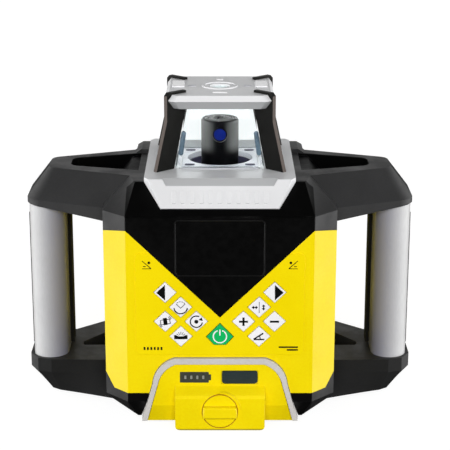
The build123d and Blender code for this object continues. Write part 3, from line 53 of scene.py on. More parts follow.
# Where the painted shade of the crown, base and arms ends, in metres
SMOOTH_FACE_HALF_X = 0.0576
SMOOTH_FACE_Y = 0.046
ARM_HOLE_X = 0.0515
ARM_HOLE_CENTRE_Y = 0.002
ARM_HOLE_HALF_Y = 0.026
ARM_HOLE_TAPER = 0.29
ARM_HOLE_TOP_Z = 0.15325

# Display window and battery front, in millimetres
WINDOW_HALF_X = 27.4
WINDOW_BOTTOM_Z = 100.5
WINDOW_TOP_MARGIN = 1.6
GAUGE_LAMPS = 4
GAUGE_LAMP_PITCH = 3.72
KNOB_GAP_RADIUS = 11.15
LOCK_TRACK_RADIUS = 13.2

# Deck and roof, in millimetres
DECK_SLOT_X = 19.1
DECK_SLOT_Y = 19.0
SIGHT_X = 26.4
ARROW_SUNK = 0.7

# Studio and camera, in metres, watts and degrees
FLOOR_HALF = 40.0
REAR_SKY = 0.75
SIDE_SKY = 2.2
BASE_SKY = 0.03
CAMERA_PLACE = (0.0, -0.950, 0.398)
CAMERA_DOWN = 16.8
CAMERA_LENS = 121.44
CAMERA_SHIFT_X = 0.0113

# --------------------------------------------------------------------------------------------------
# Node materials
# --------------------------------------------------------------------------------------------------


def add(tree, kind, inputs=None, **settings):
    """A new node, with its settings set and its inputs either plugged in or given a value."""
    made = tree.nodes.new(kind)
    for key, value in settings.items():
        setattr(made, key, value)
    for socket, value in (inputs or {}).items():
        if isinstance(value, bpy.types.NodeSocket):
            tree.links.new(value, made.inputs[socket])
        else:
            made.inputs[socket].default_value = value
    return made


def noise(tree, where, scale, detail=3.0, roughness=0.5):
    """Noise over the surface, as many features per metre as scale."""
    inputs = {"Vector": where, "Scale": scale, "Detail": detail, "Roughness": roughness}
    return add(tree, "ShaderNodeTexNoise", inputs).outputs["Fac"]


def spread(tree, value, from_low, from_high, to_low, to_high):
    """A value moved from one range to another, and kept inside it."""
    inputs = {
        "Value": value,
        "From Min": from_low,
        "From Max": from_high,
        "To Min": to_low,
        "To Max": to_high,
    }
    return add(tree, "ShaderNodeMapRange", inputs, interpolation_type="SMOOTHSTEP").outputs["Result"]


def arithmetic(tree, operation, first, second=0.0):
    """One sum."""
    return add(tree, "ShaderNodeMath", {0: first, 1: second}, operation=operation).outputs[0]


def product(tree, *factors):
    """Factors multiplied together."""
    result = factors[0]
    for factor in factors[1:]:
        result = arithmetic(tree, "MULTIPLY", result, factor)
    return result


def over(tree, value, limit, soft):
    """1 where a value is over the limit and 0 where it is under, changing over a width of soft."""
    return spread(tree, value, limit - soft / 2, limit + soft / 2, 0.0, 1.0)


def under(tree, value, limit, soft):
    """1 where a value is under the limit and 0 where it is over, changing over a width of soft."""
    return spread(tree, value, limit - soft / 2, limit + soft / 2, 1.0, 0.0)


def normal_part(tree, axis):
    """The surface normal's part along X, Y or Z."""
    normal = add(tree, "ShaderNodeNewGeometry").outputs["Normal"]
    return add(tree, "ShaderNodeSeparateXYZ", {0: normal}).outputs[axis]


def blend(tree, share, first, second):
    """Two colours mixed by share."""
    inputs = {"Factor": share, "A": first, "B": second}
    made = add(tree, "ShaderNodeMix", data_type="RGBA")
    for socket in made.inputs:
        value = inputs.get(socket.name)
        if value is None or not socket.enabled:
            continue
        if isinstance(value, bpy.types.NodeSocket):
            tree.links.new(value, socket)
        else:
            socket.default_value = value
    return next(socket for socket in made.outputs if socket.enabled)


def surface(
    name,
    shades,
    rough,
    grain=0.0005,
    depth=0.00002,
    worn=None,
    wear=0.5,
    painted_light_zone=None,
    painted_light_colour=None,
    painted_light_shine=None,
    rounding=0.0004,
    stretch=(1, 1, 1),
    **shader,
):
    """A moulded, painted or machined surface.

    It has two shades in soft clouds, a fine grain, roughness that varies with handling, and edges that catch
    the light. Where worn is given, the edges are rubbed to that colour. painted_light_zone makes a mask
    from the tree of where light or shade is painted in, painted_light_colour is the painted shade or
    highlight there, and painted_light_shine is how much the surface reflects outside and inside it."""
    material = bpy.data.materials.new(name)
    material.use_nodes = True
    tree = material.node_tree
    tree.nodes.clear()
    place = add(tree, "ShaderNodeTexCoord").outputs["Object"]
    stretched = add(tree, "ShaderNodeVectorMath", {0: place, 1: stretch}, operation="MULTIPLY").outputs[0]
    clouds = noise(tree, place, 24.0)
    speckle = noise(tree, stretched, 0.6 / grain, detail=2.0)
    colour = blend(tree, spread(tree, clouds, 0.35, 0.65, 0.0, 1.0), (*shades[0], 1), (*shades[1], 1))
    flecks = spread(tree, speckle, 0.3, 0.7, 0.0, 0.1)
    colour = blend(tree, flecks, colour, (*[min(1.0, 1.6 * c + 0.01) for c in shades[1]], 1))
    # Painted light: inside the mask the colour is a painted shade or highlight, not the part's own colour.
    if painted_light_zone:
        mask = painted_light_zone(tree, place)
        colour = blend(tree, mask, colour, (*painted_light_colour, 1))
    edge = add(tree, "ShaderNodeBevel", {"Radius": rounding}, samples=6).outputs["Normal"]
    true_normal = add(tree, "ShaderNodeNewGeometry").outputs["Normal"]
    if worn:
        facing = add(tree, "ShaderNodeVectorMath", {0: edge, 1: true_normal}, operation="DOT_PRODUCT")
        turned = spread(tree, facing.outputs["Value"], 0.99, 0.9, 0.0, 1.0)
        rubbed = spread(tree, noise(tree, place, 90.0, detail=5.0), 0.45, 0.7, 0.0, wear)
        colour = blend(tree, arithmetic(tree, "MULTIPLY", turned, rubbed), colour, (*worn, 1))
    handled = noise(tree, place, 55.0, detail=6.0, roughness=0.65)
    height = add(
        tree,
        "ShaderNodeBump",
        {"Height": noise(tree, stretched, 1 / grain, detail=2.0), "Distance": depth, "Normal": edge},
    )
    inputs = {
        "Base Color": colour,
        "Roughness": spread(tree, handled, 0.3, 0.7, *rough),
        "Normal": height.outputs["Normal"],
    }
    for key, value in shader.items():
        inputs[key.replace("_", " ").title().replace("Ior", "IOR")] = value
    # Painted light: inside the mask the surface also reflects more or less, as part of the painted shade or
    # sheen.
    if painted_light_shine:
        inputs["Specular IOR Level"] = spread(tree, mask, 0.0, 1.0, *painted_light_shine)
    shading = add(tree, "ShaderNodeBsdfPrincipled", inputs)
    end = add(tree, "ShaderNodeOutputMaterial")
    tree.links.new(shading.outputs["BSDF"], end.inputs["Surface"])
    return material


def glass(name, tint, smudge):
    """Clear glass with faint smudges. Lamps shine through it, so what stands behind it is lit."""
    material = bpy.data.materials.new(name)
    material.use_nodes = True
    tree = material.node_tree
    tree.nodes.clear()
    place = add(tree, "ShaderNodeTexCoord").outputs["Object"]
    smears = noise(tree, place, 70.0, detail=4.0, roughness=0.6)
    paler = (*[min(1.0, c * 1.02) for c in tint], 1)
    inputs = {
        "Base Color": blend(tree, smears, (*tint, 1), paler),
        "Roughness": spread(tree, smears, 0.35, 0.75, 0.0, smudge),
        "IOR": 1.2,
        "Transmission Weight": 1.0,
    }
    shading = add(tree, "ShaderNodeBsdfPrincipled", inputs)
    clear = add(tree, "ShaderNodeBsdfTransparent", {"Color": (*tint, 1)})
    path = add(tree, "ShaderNodeLightPath").outputs["Is Shadow Ray"]
    mixed = add(
        tree,
        "ShaderNodeMixShader",
        {0: path, 1: shading.outputs["BSDF"], 2: clear.outputs["BSDF"]},
    )
    end = add(tree, "ShaderNodeOutputMaterial")
    tree.links.new(mixed.outputs[0], end.inputs["Surface"])
    return material


def front_face_painted_shade(tree, place):
    """Mask of the crown's smooth front and rear faces, between its corner facets, which get painted shade."""
    split = add(tree, "ShaderNodeSeparateXYZ", {0: place})
    across = arithmetic(tree, "ABSOLUTE", split.outputs["X"])
    along = arithmetic(tree, "ABSOLUTE", split.outputs["Y"])
    inside = under(tree, across, SMOOTH_FACE_HALF_X, 0.0004)
    beyond = over(tree, along, SMOOTH_FACE_Y, 0.001)
    return product(tree, inside, beyond)


def arm_hole_painted_shade(tree, place):
    """Mask of painted shade on the walls inside the upper arms' holes, which narrow away from the case."""
    split = add(tree, "ShaderNodeSeparateXYZ", {0: place})
    across = arithmetic(tree, "ABSOLUTE", split.outputs["X"])
    along = arithmetic(tree, "SUBTRACT", split.outputs["Y"], ARM_HOLE_CENTRE_Y)
    off_centre = arithmetic(tree, "ABSOLUTE", along)
    taper = product(tree, arithmetic(tree, "SUBTRACT", across, ARM_HOLE_X), ARM_HOLE_TAPER)
    within = under(tree, arithmetic(tree, "ADD", off_centre, taper), ARM_HOLE_HALF_Y, 0.0004)
    beyond = over(tree, across, ARM_HOLE_X - 0.00015, 0.0003)
    below = under(tree, split.outputs["Z"], ARM_HOLE_TOP_Z, 0.0003)
    return product(tree, within, beyond, below)


def crown_painted_shade(tree, place):
    """Mask of the crown's painted shade: its smooth faces and its arms' holes."""
    return arithmetic(tree, "MAXIMUM", front_face_painted_shade(tree, place), arm_hole_painted_shade(tree, place))


def case_side_painted_shade(tree, place):
    """Mask of painted shade on a handle, from nothing on its outer side to full on the side towards the case.
    """
    across = add(tree, "ShaderNodeSeparateXYZ", {0: place}).outputs["X"]
    outwards = product(tree, normal_part(tree, "X"), arithmetic(tree, "SIGN", across))
    return spread(tree, outwards, -1.0, 0.85, 1.0, 0.0)


def rotor_painted_sheen(tree, place):
    """Mask of painted sheen on the rotor's left and right sides, above the part that sits in the well."""
    sideways = arithmetic(tree, "ABSOLUTE", normal_part(tree, "X"))
    height = add(tree, "ShaderNodeSeparateXYZ", {0: place}).outputs["Z"]
    return product(tree, spread(tree, sideways, 0.12, 0.95, 0.0, 1.0), over(tree, height, 0.164, 0.008))


def post_painted_highlight(tree, place):
    """Mask of the faces that look straight away from the rotor's axis, where a highlight is painted."""
    flat = add(tree, "ShaderNodeVectorMath", {0: place, 1: (1, 1, 0)}, operation="MULTIPLY").outputs[0]
    outwards = add(tree, "ShaderNodeVectorMath", {0: flat}, operation="NORMALIZE").outputs[0]
    normal = add(tree, "ShaderNodeNewGeometry").outputs["Normal"]
    facing = add(tree, "ShaderNodeVectorMath", {0: outwards, 1: normal}, operation="DOT_PRODUCT")
    return spread(tree, facing.outputs["Value"], 0.75, 0.85, 0.0, 1.0)


def silver_painted_shade(tree, place):
    """Mask of painted shade on silver faces: those that look down, shallow slopes, and less so level tops."""
    upwards = normal_part(tree, "Z")
    slopes = spread(tree, upwards, 0.76, 0.85, 0.0, 0.75)
    level = spread(tree, upwards, 0.93, 0.99, 0.0, 0.42)
    below = spread(tree, upwards, -0.1, -0.4, 0.0, 1.0)
    return arithmetic(tree, "MAXIMUM", arithmetic(tree, "SUBTRACT", slopes, level), below)


YELLOW = ((0.86, 0.66, 0.0), (0.9, 0.69, 0.001))
LOOKS = {
    # Painted shade: the base's front and rear faces darker, and less reflective, than its corner facets.
    "dark_plastic": surface(
        "dark_plastic", ((0.012, 0.012, 0.012), (0.016, 0.016, 0.016)), (0.42, 0.6), 0.0007, 0.00004,
        worn=(0.07, 0.07, 0.07), painted_light_zone=front_face_painted_shade, painted_light_colour=(0.003, 0.003, 0.003), painted_light_shine=(0.35, 0.12),
    ),
    # Painted shade: the crown's smooth faces and the walls inside its arms' holes darker and less reflective.
    "crown_plastic": surface(
        "crown_plastic", ((0.02, 0.02, 0.0205), (0.026, 0.026, 0.0265)), (0.42, 0.6), 0.0007, 0.00004,
        worn=(0.09, 0.09, 0.09), painted_light_zone=crown_painted_shade, painted_light_colour=(0.0015, 0.0015, 0.0015), painted_light_shine=(0.4, 0.1),
    ),
    "yellow_plastic": surface(
        "yellow_plastic", YELLOW, (0.36, 0.5), 0.0009, 0.00002,
        worn=(0.9, 0.76, 0.2), wear=0.3, specular_ior_level=0.4,
    ),
    "overlay_yellow": surface(
        "overlay_yellow", YELLOW, (0.3, 0.42), 0.0004, 0.00001,
        worn=(0.8, 0.55, 0.0), wear=0.5, rounding=0.0003, specular_ior_level=0.35,
    ),
    "display_black": surface(
        "display_black", ((0.0018, 0.0018, 0.0018), (0.003, 0.003, 0.003)), (0.12, 0.22), 0.002, 0.000004,
        specular_ior_level=0.4,
    ),
    "print_black": surface(
        "print_black", ((0.002, 0.002, 0.002), (0.004, 0.004, 0.004)), (0.45, 0.6), 0.0003, 0.000005,
        rounding=0.00004, specular_ior_level=0.3,
    ),
    "key_white": surface(
        "key_white", ((0.84, 0.83, 0.85), (0.88, 0.87, 0.89)), (0.45, 0.6), 0.0005, 0.00001,
        worn=(0.7, 0.69, 0.7), rounding=0.0003, specular_ior_level=0.35,
    ),
    "key_green": surface(
        "key_green", ((0.0, 0.36, 0.1), (0.003, 0.45, 0.11)), (0.42, 0.58), 0.0005, 0.00001,
        worn=(0.1, 0.5, 0.2), rounding=0.0003, specular_ior_level=0.35,
    ),
    # Painted shade: faces that look down, and shallow slopes more than level tops, greyer than the rest.
    "silver_paint": surface(
        "silver_paint", ((0.87, 0.872, 0.885), (0.91, 0.912, 0.925)), (0.38, 0.5), 0.0004, 0.00002,
        worn=(0.88, 0.88, 0.9), painted_light_zone=silver_painted_shade, painted_light_colour=(0.47, 0.478, 0.487),
        metallic=0.15, rounding=0.0005,
    ),
    "sight_white": surface(
        "sight_white", ((0.93, 0.93, 0.95), (0.96, 0.96, 0.97)), (0.14, 0.22), 0.0005, 0.00001,
        worn=(0.8, 0.8, 0.82), rounding=0.0003, specular_ior_level=1.0,
    ),
    "deck_silver": surface(
        "deck_silver", ((0.6, 0.605, 0.65), (0.65, 0.655, 0.7)), (0.38, 0.5), 0.0004, 0.00002,
        worn=(0.85, 0.85, 0.88), metallic=0.15, rounding=0.0005,
    ),
    # Painted shade: each handle darker on its side towards the case, where the case keeps the light off.
    "tube_silver": surface(
        "tube_silver", ((0.6, 0.6, 0.6), (0.64, 0.64, 0.64)), (0.34, 0.46), 0.0004, 0.00001,
        worn=(0.7, 0.7, 0.7), painted_light_zone=case_side_painted_shade, painted_light_colour=(0.17, 0.175, 0.25), stretch=(1, 1, 0.15),
    ),
    # Painted highlight: the posts' outer faces lighter than the rest of them.
    "post_black": surface(
        "post_black", ((0.005, 0.005, 0.0045), (0.007, 0.007, 0.006)), (0.4, 0.55), 0.0006, 0.00003,
        worn=(0.1, 0.09, 0.085), painted_light_zone=post_painted_highlight, painted_light_colour=(0.11, 0.09, 0.08), specular_ior_level=0.12,
    ),
    # Painted sheen: the rotor's left and right sides lighter and more reflective than its front and back.
    "rotor_black": surface(
        "rotor_black", ((0.0008, 0.0008, 0.001), (0.001, 0.001, 0.0015)), (0.3, 0.4), 0.0005, 0.00002,
        worn=(0.14, 0.14, 0.14), painted_light_zone=rotor_painted_sheen, painted_light_colour=(0.1, 0.1, 0.097), painted_light_shine=(0.03, 0.6),
        stretch=(1, 1, 0.3),
    ),
    "beam_glass": surface(
        "beam_glass", ((0.0, 0.004, 0.075), (0.0, 0.006, 0.11)), (0.06, 0.12), 0.001, 0.000002,
        rounding=0.0002, specular_ior_level=0.1,
    ),
    "strip_blue": surface(
        "strip_blue", ((0.035, 0.06, 0.085), (0.05, 0.08, 0.11)), (0.3, 0.45), 0.0006, 0.00001,
        rounding=0.0002, specular_ior_level=0.3,
    ),
    "boot_violet": surface(
        "boot_violet", ((0.022, 0.02, 0.05), (0.035, 0.032, 0.07)), (0.5, 0.65), 0.0006, 0.00004,
    ),
    "grip_rubber": surface(
        "grip_rubber", ((0.004, 0.004, 0.004), (0.008, 0.008, 0.008)), (0.55, 0.75), 0.0008, 0.00006,
        worn=(0.04, 0.04, 0.04), specular_ior_level=0.3, stretch=(1, 1, 0.5),
    ),
    "bezel_grey": surface(
        "bezel_grey", ((0.54, 0.52, 0.5), (0.59, 0.57, 0.55)), (0.4, 0.55), 0.0007, 0.00002,
        worn=(0.75, 0.74, 0.72),
    ),
    "smoke_window": surface(
        "smoke_window", ((0.045, 0.048, 0.038), (0.055, 0.058, 0.046)), (0.15, 0.25), 0.001, 0.000003,
        rounding=0.0002, specular_ior_level=0.3,
    ),
    "lamp_grey": surface(
        "lamp_grey", ((0.22, 0.23, 0.21), (0.32, 0.33, 0.31)), (0.3, 0.4), 0.0004, 0.000005, rounding=0.0001,
    ),
    "port_rubber": surface(
        "port_rubber", ((0.02, 0.031, 0.032), (0.028, 0.04, 0.042)), (0.5, 0.65), 0.0006, 0.00003,
        worn=(0.08, 0.09, 0.09), specular_ior_level=0.35,
    ),
    "gap_orange": surface(
        "gap_orange", ((0.42, 0.13, 0.01), (0.55, 0.2, 0.01)), (0.5, 0.65), 0.0005, 0.00001, rounding=0.0001,
    ),
    "brass": surface(
        "brass", ((0.6, 0.42, 0.16), (0.72, 0.52, 0.22)), (0.22, 0.38), 0.0005, 0.000006,
        worn=(0.85, 0.68, 0.36), metallic=1.0, stretch=(1, 1, 0.1),
    ),
    "steel": surface(
        "steel", ((0.44, 0.44, 0.45), (0.54, 0.54, 0.55)), (0.24, 0.4), 0.0005, 0.000006,
        worn=(0.75, 0.75, 0.76), metallic=1.0, stretch=(0.1, 1, 1),
    ),
    "aluminium": surface(
        "aluminium", ((0.6, 0.61, 0.63), (0.68, 0.69, 0.71)), (0.26, 0.42), 0.0005, 0.000008,
        worn=(0.85, 0.85, 0.87), metallic=1.0, stretch=(1, 1, 0.1),
    ),
    "board_green": surface(
        "board_green", ((0.012, 0.12, 0.045), (0.02, 0.17, 0.06)), (0.3, 0.42), 0.0006, 0.00002,
        worn=(0.5, 0.42, 0.16),
    ),
    "belt_rubber": surface(
        "belt_rubber", ((0.012, 0.012, 0.012), (0.022, 0.022, 0.022)), (0.55, 0.72), 0.0005, 0.00004,
        stretch=(1, 1, 0.2),
    ),
    "cell_wrap": surface(
        "cell_wrap", ((0.03, 0.18, 0.4), (0.045, 0.24, 0.5)), (0.24, 0.36), 0.0009, 0.00001,
        worn=(0.3, 0.45, 0.6),
    ),
    "foot_rubber": surface(
        "foot_rubber", ((0.012, 0.012, 0.012), (0.02, 0.02, 0.02)), (0.6, 0.78), 0.0007, 0.00005,
    ),
    "clear_glass": glass("clear_glass", (0.955, 0.98, 0.985), 0.01),
    "lens_glass": glass("lens_glass", (0.86, 0.93, 0.93), 0.02),
}

slot_of = {part["node"]: part["material_slot"] for part in frame["record"]["subparts"]}
for node_name, node_object in frame["nodes"].items():
    node_object.data.materials.clear()
    node_object.data.materials.append(LOOKS[slot_of[node_name]])

# --------------------------------------------------------------------------------------------------
# Small pieces, drawn in millimetres on an upright front face (x, z) or on a level face (x, y)
# --------------------------------------------------------------------------------------------------


class Piece:
    """A mesh of thin plates. They lie on a front face at depth y, or with level=True on a top face at z."""

    def __init__(self, name, base, thickness=PRINT_THICKNESS, level=False, sunk=PLATE_SUNK):
        self.name = name
        self.base = base
        self.thickness = thickness
        self.level = level
        self.sunk = sunk
        self.mesh = bmesh.new()

    def corner(self, point, lift):
        """One vertex, lift millimetres proud of the face."""
        if self.level:
            place = (point[0], point[1], self.base + lift)
        else:
            place = (point[0], self.base - lift, point[1])
        return self.mesh.verts.new(Vector(place) * MM)

    def plate(self, points):
        """A plate with this outline."""
        bottom = [self.corner(point, -self.sunk) for point in points]
        top = [self.corner(point, self.thickness) for point in points]
        count = len(points)
        self.mesh.faces.new(bottom)
        self.mesh.faces.new(reversed(top))
        for i in range(count):
            j = (i + 1) % count
            self.mesh.faces.new((bottom[j], bottom[i], top[i], top[j]))

    def stroke(self, path, width, closed=False):
        """A line of this width along the path."""
        count = len(path)
        rims = []
        for i, point in enumerate(path):
            before = path[i - 1] if closed or i else point
            after = path[(i + 1) % count] if closed or i < count - 1 else point
            along = Vector((after[0] - before[0], after[1] - before[1])).normalized()
            side = Vector((-along.y, along.x)) * width / 2
            rims.append(((point[0] + side.x, point[1] + side.y), (point[0] - side.x, point[1] - side.y)))
        rings = [
            (
                self.corner(left, -self.sunk),
                self.corner(left, self.thickness),
                self.corner(right, self.thickness),
                self.corner(right, -self.sunk),
            )
            for left, right in rims
        ]
        for i in range(count if closed else count - 1):
            here, there = rings[i], rings[(i + 1) % count]
            for k in range(4):
                n = (k + 1) % 4
                self.mesh.faces.new((here[k], here[n], there[n], there[k]))
        if not closed:
            self.mesh.faces.new(rings[0])
            self.mesh.faces.new(reversed(rings[-1]))

    def build(self, look, body):
        """The finished piece, riding on a CAD body."""
        bmesh.ops.recalc_face_normals(self.mesh, faces=self.mesh.faces)
        data = bpy.data.meshes.new(self.name)
        self.mesh.to_mesh(data)
        self.mesh.free()
        data.materials.append(LOOKS[look])
        made = bpy.data.objects.new(self.name, data)
        bpy.context.scene.collection.objects.link(made)
        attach(made, body)
        return made


def arc(centre, radius, start, end, steps=24):
    """Points along an arc, with its angles in degrees."""
    turns = [radians(start + (end - start) * i / steps) for i in range(steps + 1)]
    return [(centre[0] + radius * cos(turn), centre[1] + radius * sin(turn)) for turn in turns]


def disc(centre, radius, steps=32):
    """A circle's outline."""
    return arc(centre, radius, 0, 360, steps)[:-1]


def block(low, high, corner=0.0):
    """A rectangle's outline, with rounded corners if asked."""
    if not corner:
        return [low, (high[0], low[1]), high, (low[0], high[1])]
    points = []
    places = (
        (high[0] - corner, low[1] + corner, -90),
        (high[0] - corner, high[1] - corner, 0),
        (low[0] + corner, high[1] - corner, 90),
        (low[0] + corner, low[1] + corner, 180),
    )
    for x, z, start in places:
        points += arc((x, z), corner, start, start + 90, 6)
    return points


def moved(points, by, turn=0.0):
    """Points turned about the origin by some degrees, then moved."""
    c, s = cos(radians(turn)), sin(radians(turn))
    return [(by[0] + c * x - s * z, by[1] + s * x + c * z) for x, z in points]


def middle(node):
    """Centre of a CAD part's front face in millimetres: x, z, and the depth of the face."""
    low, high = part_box(node)
    return (low.x + high.x) / 2 / MM, (low.z + high.z) / 2 / MM, low.y / MM


# --------------------------------------------------------------------------------------------------
# Key icons
# --------------------------------------------------------------------------------------------------


def arrow_half(icon, at, side):
    """Half of the diamond, filled: an arrow to the left or right."""
    icon.plate(moved([(0, -5.0), (0, 5.0), (side * 5.4, 0)], at))


def scan_icon(icon, at):
    """A beam fan over a bowl."""
    icon.stroke(arc(at, 4.1, 185, 355), 0.75)
    icon.stroke(moved([(-2.7, 2.2), (0, -0.5), (2.7, 2.2)], at), 0.45)
    for start in range(40, 140, 25):
        icon.stroke(arc((at[0], at[1] + 0.2), 3.5, start, start + 18, 4), 0.32)


def shock_icon(icon, at):
    """A tilted instrument between two pairs of shake marks."""
    icon.plate(moved(block((-1.2, -2.2), (1.2, 2.4)), at, 8))
    for side in (-1, 1):
        handle = [(side * 1.2, 1.3), (side * 2.9, 1.3), (side * 2.9, -1.6), (side * 1.2, -1.6)]
        icon.stroke(moved(handle, at, 8), 0.5)
        icon.stroke(moved([(side * 2.3, side * 3.6), (side * 3.7, side * 2.0)], at), 0.42)
        icon.stroke(moved([(side * 1.8, side * 3.1), (side * 3.2, side * 1.5)], at), 0.3)


def speed_icon(icon, at):
    """A turning arrow round a dot."""
    icon.stroke(arc(at, 3.7, 62, 352, 40), 0.75)
    icon.plate(moved([(3.2, 2.8), (4.0, 0.5), (1.4, 1.1)], at))
    icon.plate(disc(at, 1.25))


def tilt_icon(icon, at):
    """A cradle with rays over it."""
    right_side = [(4.1, -1.7), (4.1, 1.0), (3.0, 1.0), (1.6, 0.2)]
    cradle = [(-4.1, -1.7), *right_side, (-1.6, 0.2), (-3.0, 1.0), (-4.1, 1.0)]
    icon.plate(moved(cradle, at))
    for turn in (-56, -28, 0, 28, 56):
        icon.stroke(moved([(0, 1.4), (0, 3.2)], at, turn), 0.34)


def axis_icon(icon, at):
    """Two double arrows, level and upright, either side of a line."""
    icon.stroke(moved([(0, -3.6), (0, 3.6)], at), 0.34)
    for where, turn in (((-2.7, 0), 0), ((2.7, 0), 90)):
        centre = (at[0] + where[0], at[1] + where[1])
        icon.stroke(moved([(-1.0, 0), (1.0, 0)], centre, turn), 0.7)
        for side in (-1, 1):
            icon.plate(moved([(side * 0.6, -1.15), (side * 1.9, 0), (side * 0.6, 1.15)], centre, turn))


def grade_icon(icon, at):
    """A slope over a level line."""
    icon.stroke(moved([(-3.3, -1.9), (3.3, -1.9)], at), 0.9)
    icon.stroke(moved([(-3.2, -1.7), (2.6, 2.2)], at), 0.9)
    icon.stroke(arc((at[0] - 3.2, at[1] - 1.7), 4.0, 3, 31, 8), 0.55)


def cross_bar(icon, at, arms):
    """A plus sign with two arms, or a minus sign with one."""
    for turn in (0, 90)[:arms]:
        icon.plate(moved(block((-2.75, -0.64), (2.75, 0.64)), at, turn))


ICONS = {
    "left_key": lambda icon, at: arrow_half(icon, at, -1),
    "right_key": lambda icon, at: arrow_half(icon, at, 1),
    "scan_key": scan_icon,
    "shock_key": shock_icon,
    "speed_key": speed_icon,
    "tilt_key": tilt_icon,
    "axis_key": axis_icon,
    "grade_key": grade_icon,
    "plus_key": lambda icon, at: cross_bar(icon, at, 2),
    "minus_key": lambda icon, at: cross_bar(icon, at, 1),
}
for key_name, draw in ICONS.items():
    key_x, key_z, key_front = middle(key_name)
    icon = Piece(f"{key_name}_icon", key_front)
    draw(icon, (key_x, key_z))
    icon.build("print_black", f"{key_name}_body")

power_x, power_z, power_front = middle("power_key")
ring_centre = (power_x, power_z - 1.5)
power_icon = Piece("power_key_icon", power_front)
power_icon.stroke(arc(ring_centre, 4.1, 110, 430, 48), 0.8)
power_icon.plate(moved(block((-0.4, 0.6), (0.4, 4.6)), ring_centre))
power_icon.build("key_white", "power_key_body")

# --------------------------------------------------------------------------------------------------
# Prints on the overlay and the frame of the display window
# --------------------------------------------------------------------------------------------------

overlay_low, overlay_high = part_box("keypad_overlay")
overlay_front = overlay_low.y / MM
marks = Piece("slope_marks", overlay_front)
for side in (-1, 1):
    at = (side * 44.7, overlay_high.z / MM - 7.2)
    marks.stroke(moved([(-2.7, -2.4), (2.7, -2.4)], at), 0.42)
    marks.stroke(moved([(side * -2.7, -2.3), (side * 2.7, 2.6)], at), 0.48)
    marks.plate(disc((at[0] - side * 1.5, at[1] + 1.4), 0.85, 16))
    marks.stroke(moved([(side * 0.5, -1.0), (side * 2.1, -1.0)], at), 0.5)
for length, z in ((12.0, 4.6), (7.0, 2.8)):
    right_end = overlay_high.x / MM - 3.5
    bottom = overlay_low.z / MM + z
    marks.plate(block((right_end - length, bottom), (right_end, bottom + 1.0), 0.4))
for tick in range(6):
    tick_x = overlay_low.x / MM + 4.6 + 2.1 * tick
    marks.plate(block((tick_x, overlay_low.z / MM + 3.2), (tick_x + 1.1, overlay_low.z / MM + 5.2), 0.3))
marks.build("print_black", "chassis")

panel_low, panel_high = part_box("display_panel")
window_rim = Piece("window_rim", panel_low.y / MM, thickness=0.12)
window_top = panel_high.z / MM - WINDOW_TOP_MARGIN
rim_outline = block((-WINDOW_HALF_X, WINDOW_BOTTOM_Z), (WINDOW_HALF_X, window_top), 2.4)
window_rim.stroke(rim_outline, 0.8, closed=True)
window_rim.build("grip_rubber", "chassis")

# --------------------------------------------------------------------------------------------------
# Battery front: charge gauge, painted shade ring in the gap round the knob, arrow groove
# --------------------------------------------------------------------------------------------------

gauge_low, gauge_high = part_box("gauge_window")
gauge_front = gauge_low.y / MM
gauge_x, gauge_z, _ = middle("gauge_window")
nub = Piece("gauge_nub", gauge_front)
nub.plate(block((gauge_high.x / MM - 0.1, gauge_z - 2.0), (gauge_high.x / MM + 1.4, gauge_z + 2.0), 0.3))
nub.build("smoke_window", "battery")
lamps = Piece("gauge_lamps", gauge_front)
for count in range(GAUGE_LAMPS):
    lamp_x = gauge_x - 5.6 + GAUGE_LAMP_PITCH * count
    lamps.plate(block((lamp_x - 0.65, gauge_z - 1.15), (lamp_x + 0.65, gauge_z + 1.15), 0.35))
lamps.build("lamp_grey", "battery")

knob_x, knob_z, _ = middle("lock_knob")
block_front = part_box("battery_case")[0].y / MM
# Painted shade: an orange ring sunk in the gap round the knob stands in for the shade between knob and
# battery.
gap = Piece("knob_gap_shade", block_front, thickness=0.05, sunk=0.4)
gap.stroke(disc((knob_x, knob_z), KNOB_GAP_RADIUS, 64), 0.25, closed=True)
gap.build("gap_orange", "battery")
groove = Piece("lock_track", block_front, thickness=0.12)
groove.stroke(arc((knob_x, knob_z), LOCK_TRACK_RADIUS, 88, 8, 30), 0.5)
groove.build("yellow_plastic", "battery")

port_low, port_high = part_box("port_cover")
port_line = Piece("port_cover_panel", port_low.y / MM, thickness=0.1)
panel_corner = (port_low.x / MM + 3.0, port_low.z / MM + 2.6)
far_corner = (port_high.x / MM - 1.6, port_high.z / MM - 1.6)
port_line.plate(block(panel_corner, far_corner, 0.8))
port_line.build("port_rubber", "port")

# --------------------------------------------------------------------------------------------------
# Painted shade in the deck's screw slots, and the roof's white sight blocks and direction arrows
# --------------------------------------------------------------------------------------------------

roof_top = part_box("lantern_roof")[1].z / MM
deck_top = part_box("deck_plate")[1].z / MM
# Painted shade: dark violet plates on the deck at its screws stand in for the shade in their slots.
slot_shade = Piece("deck_slot_shade", deck_top, thickness=0.12, level=True)
for side in (-1, 1):
    for slot_y in (-DECK_SLOT_Y, DECK_SLOT_Y):
        slot_x = side * DECK_SLOT_X
        slot_shade.plate(block((slot_x - 3.1, slot_y - 1.9), (slot_x + 3.1, slot_y + 1.9), 0.8))
slot_shade.build("boot_violet", "chassis")

sights = Piece("roof_sights", roof_top, thickness=0.1, level=True, sunk=0.6)
for side in (-1, 1):
    sights.plate(block((side * SIGHT_X - 3.8, -5.1), (side * SIGHT_X + 3.8, 13.1), 0.9))
sights.build("sight_white", "chassis")
arrows = Piece("roof_arrows", roof_top - ARROW_SUNK, thickness=0.3, level=True)
for side in (-1, 1):
    arrows.plate([(side * 18.6, 2.6), (side * 15.4, 2.6), (side * 15.4, -2.6), (side * 18.6, -2.6)])
    arrows.plate([(side * 20.4, 0), (side * 19.0, 2.2), (side * 19.0, -2.2)])
arrows.build("deck_silver", "chassis")

# --------------------------------------------------------------------------------------------------
# Studio: pale floor, white surround and soft lamps
# --------------------------------------------------------------------------------------------------

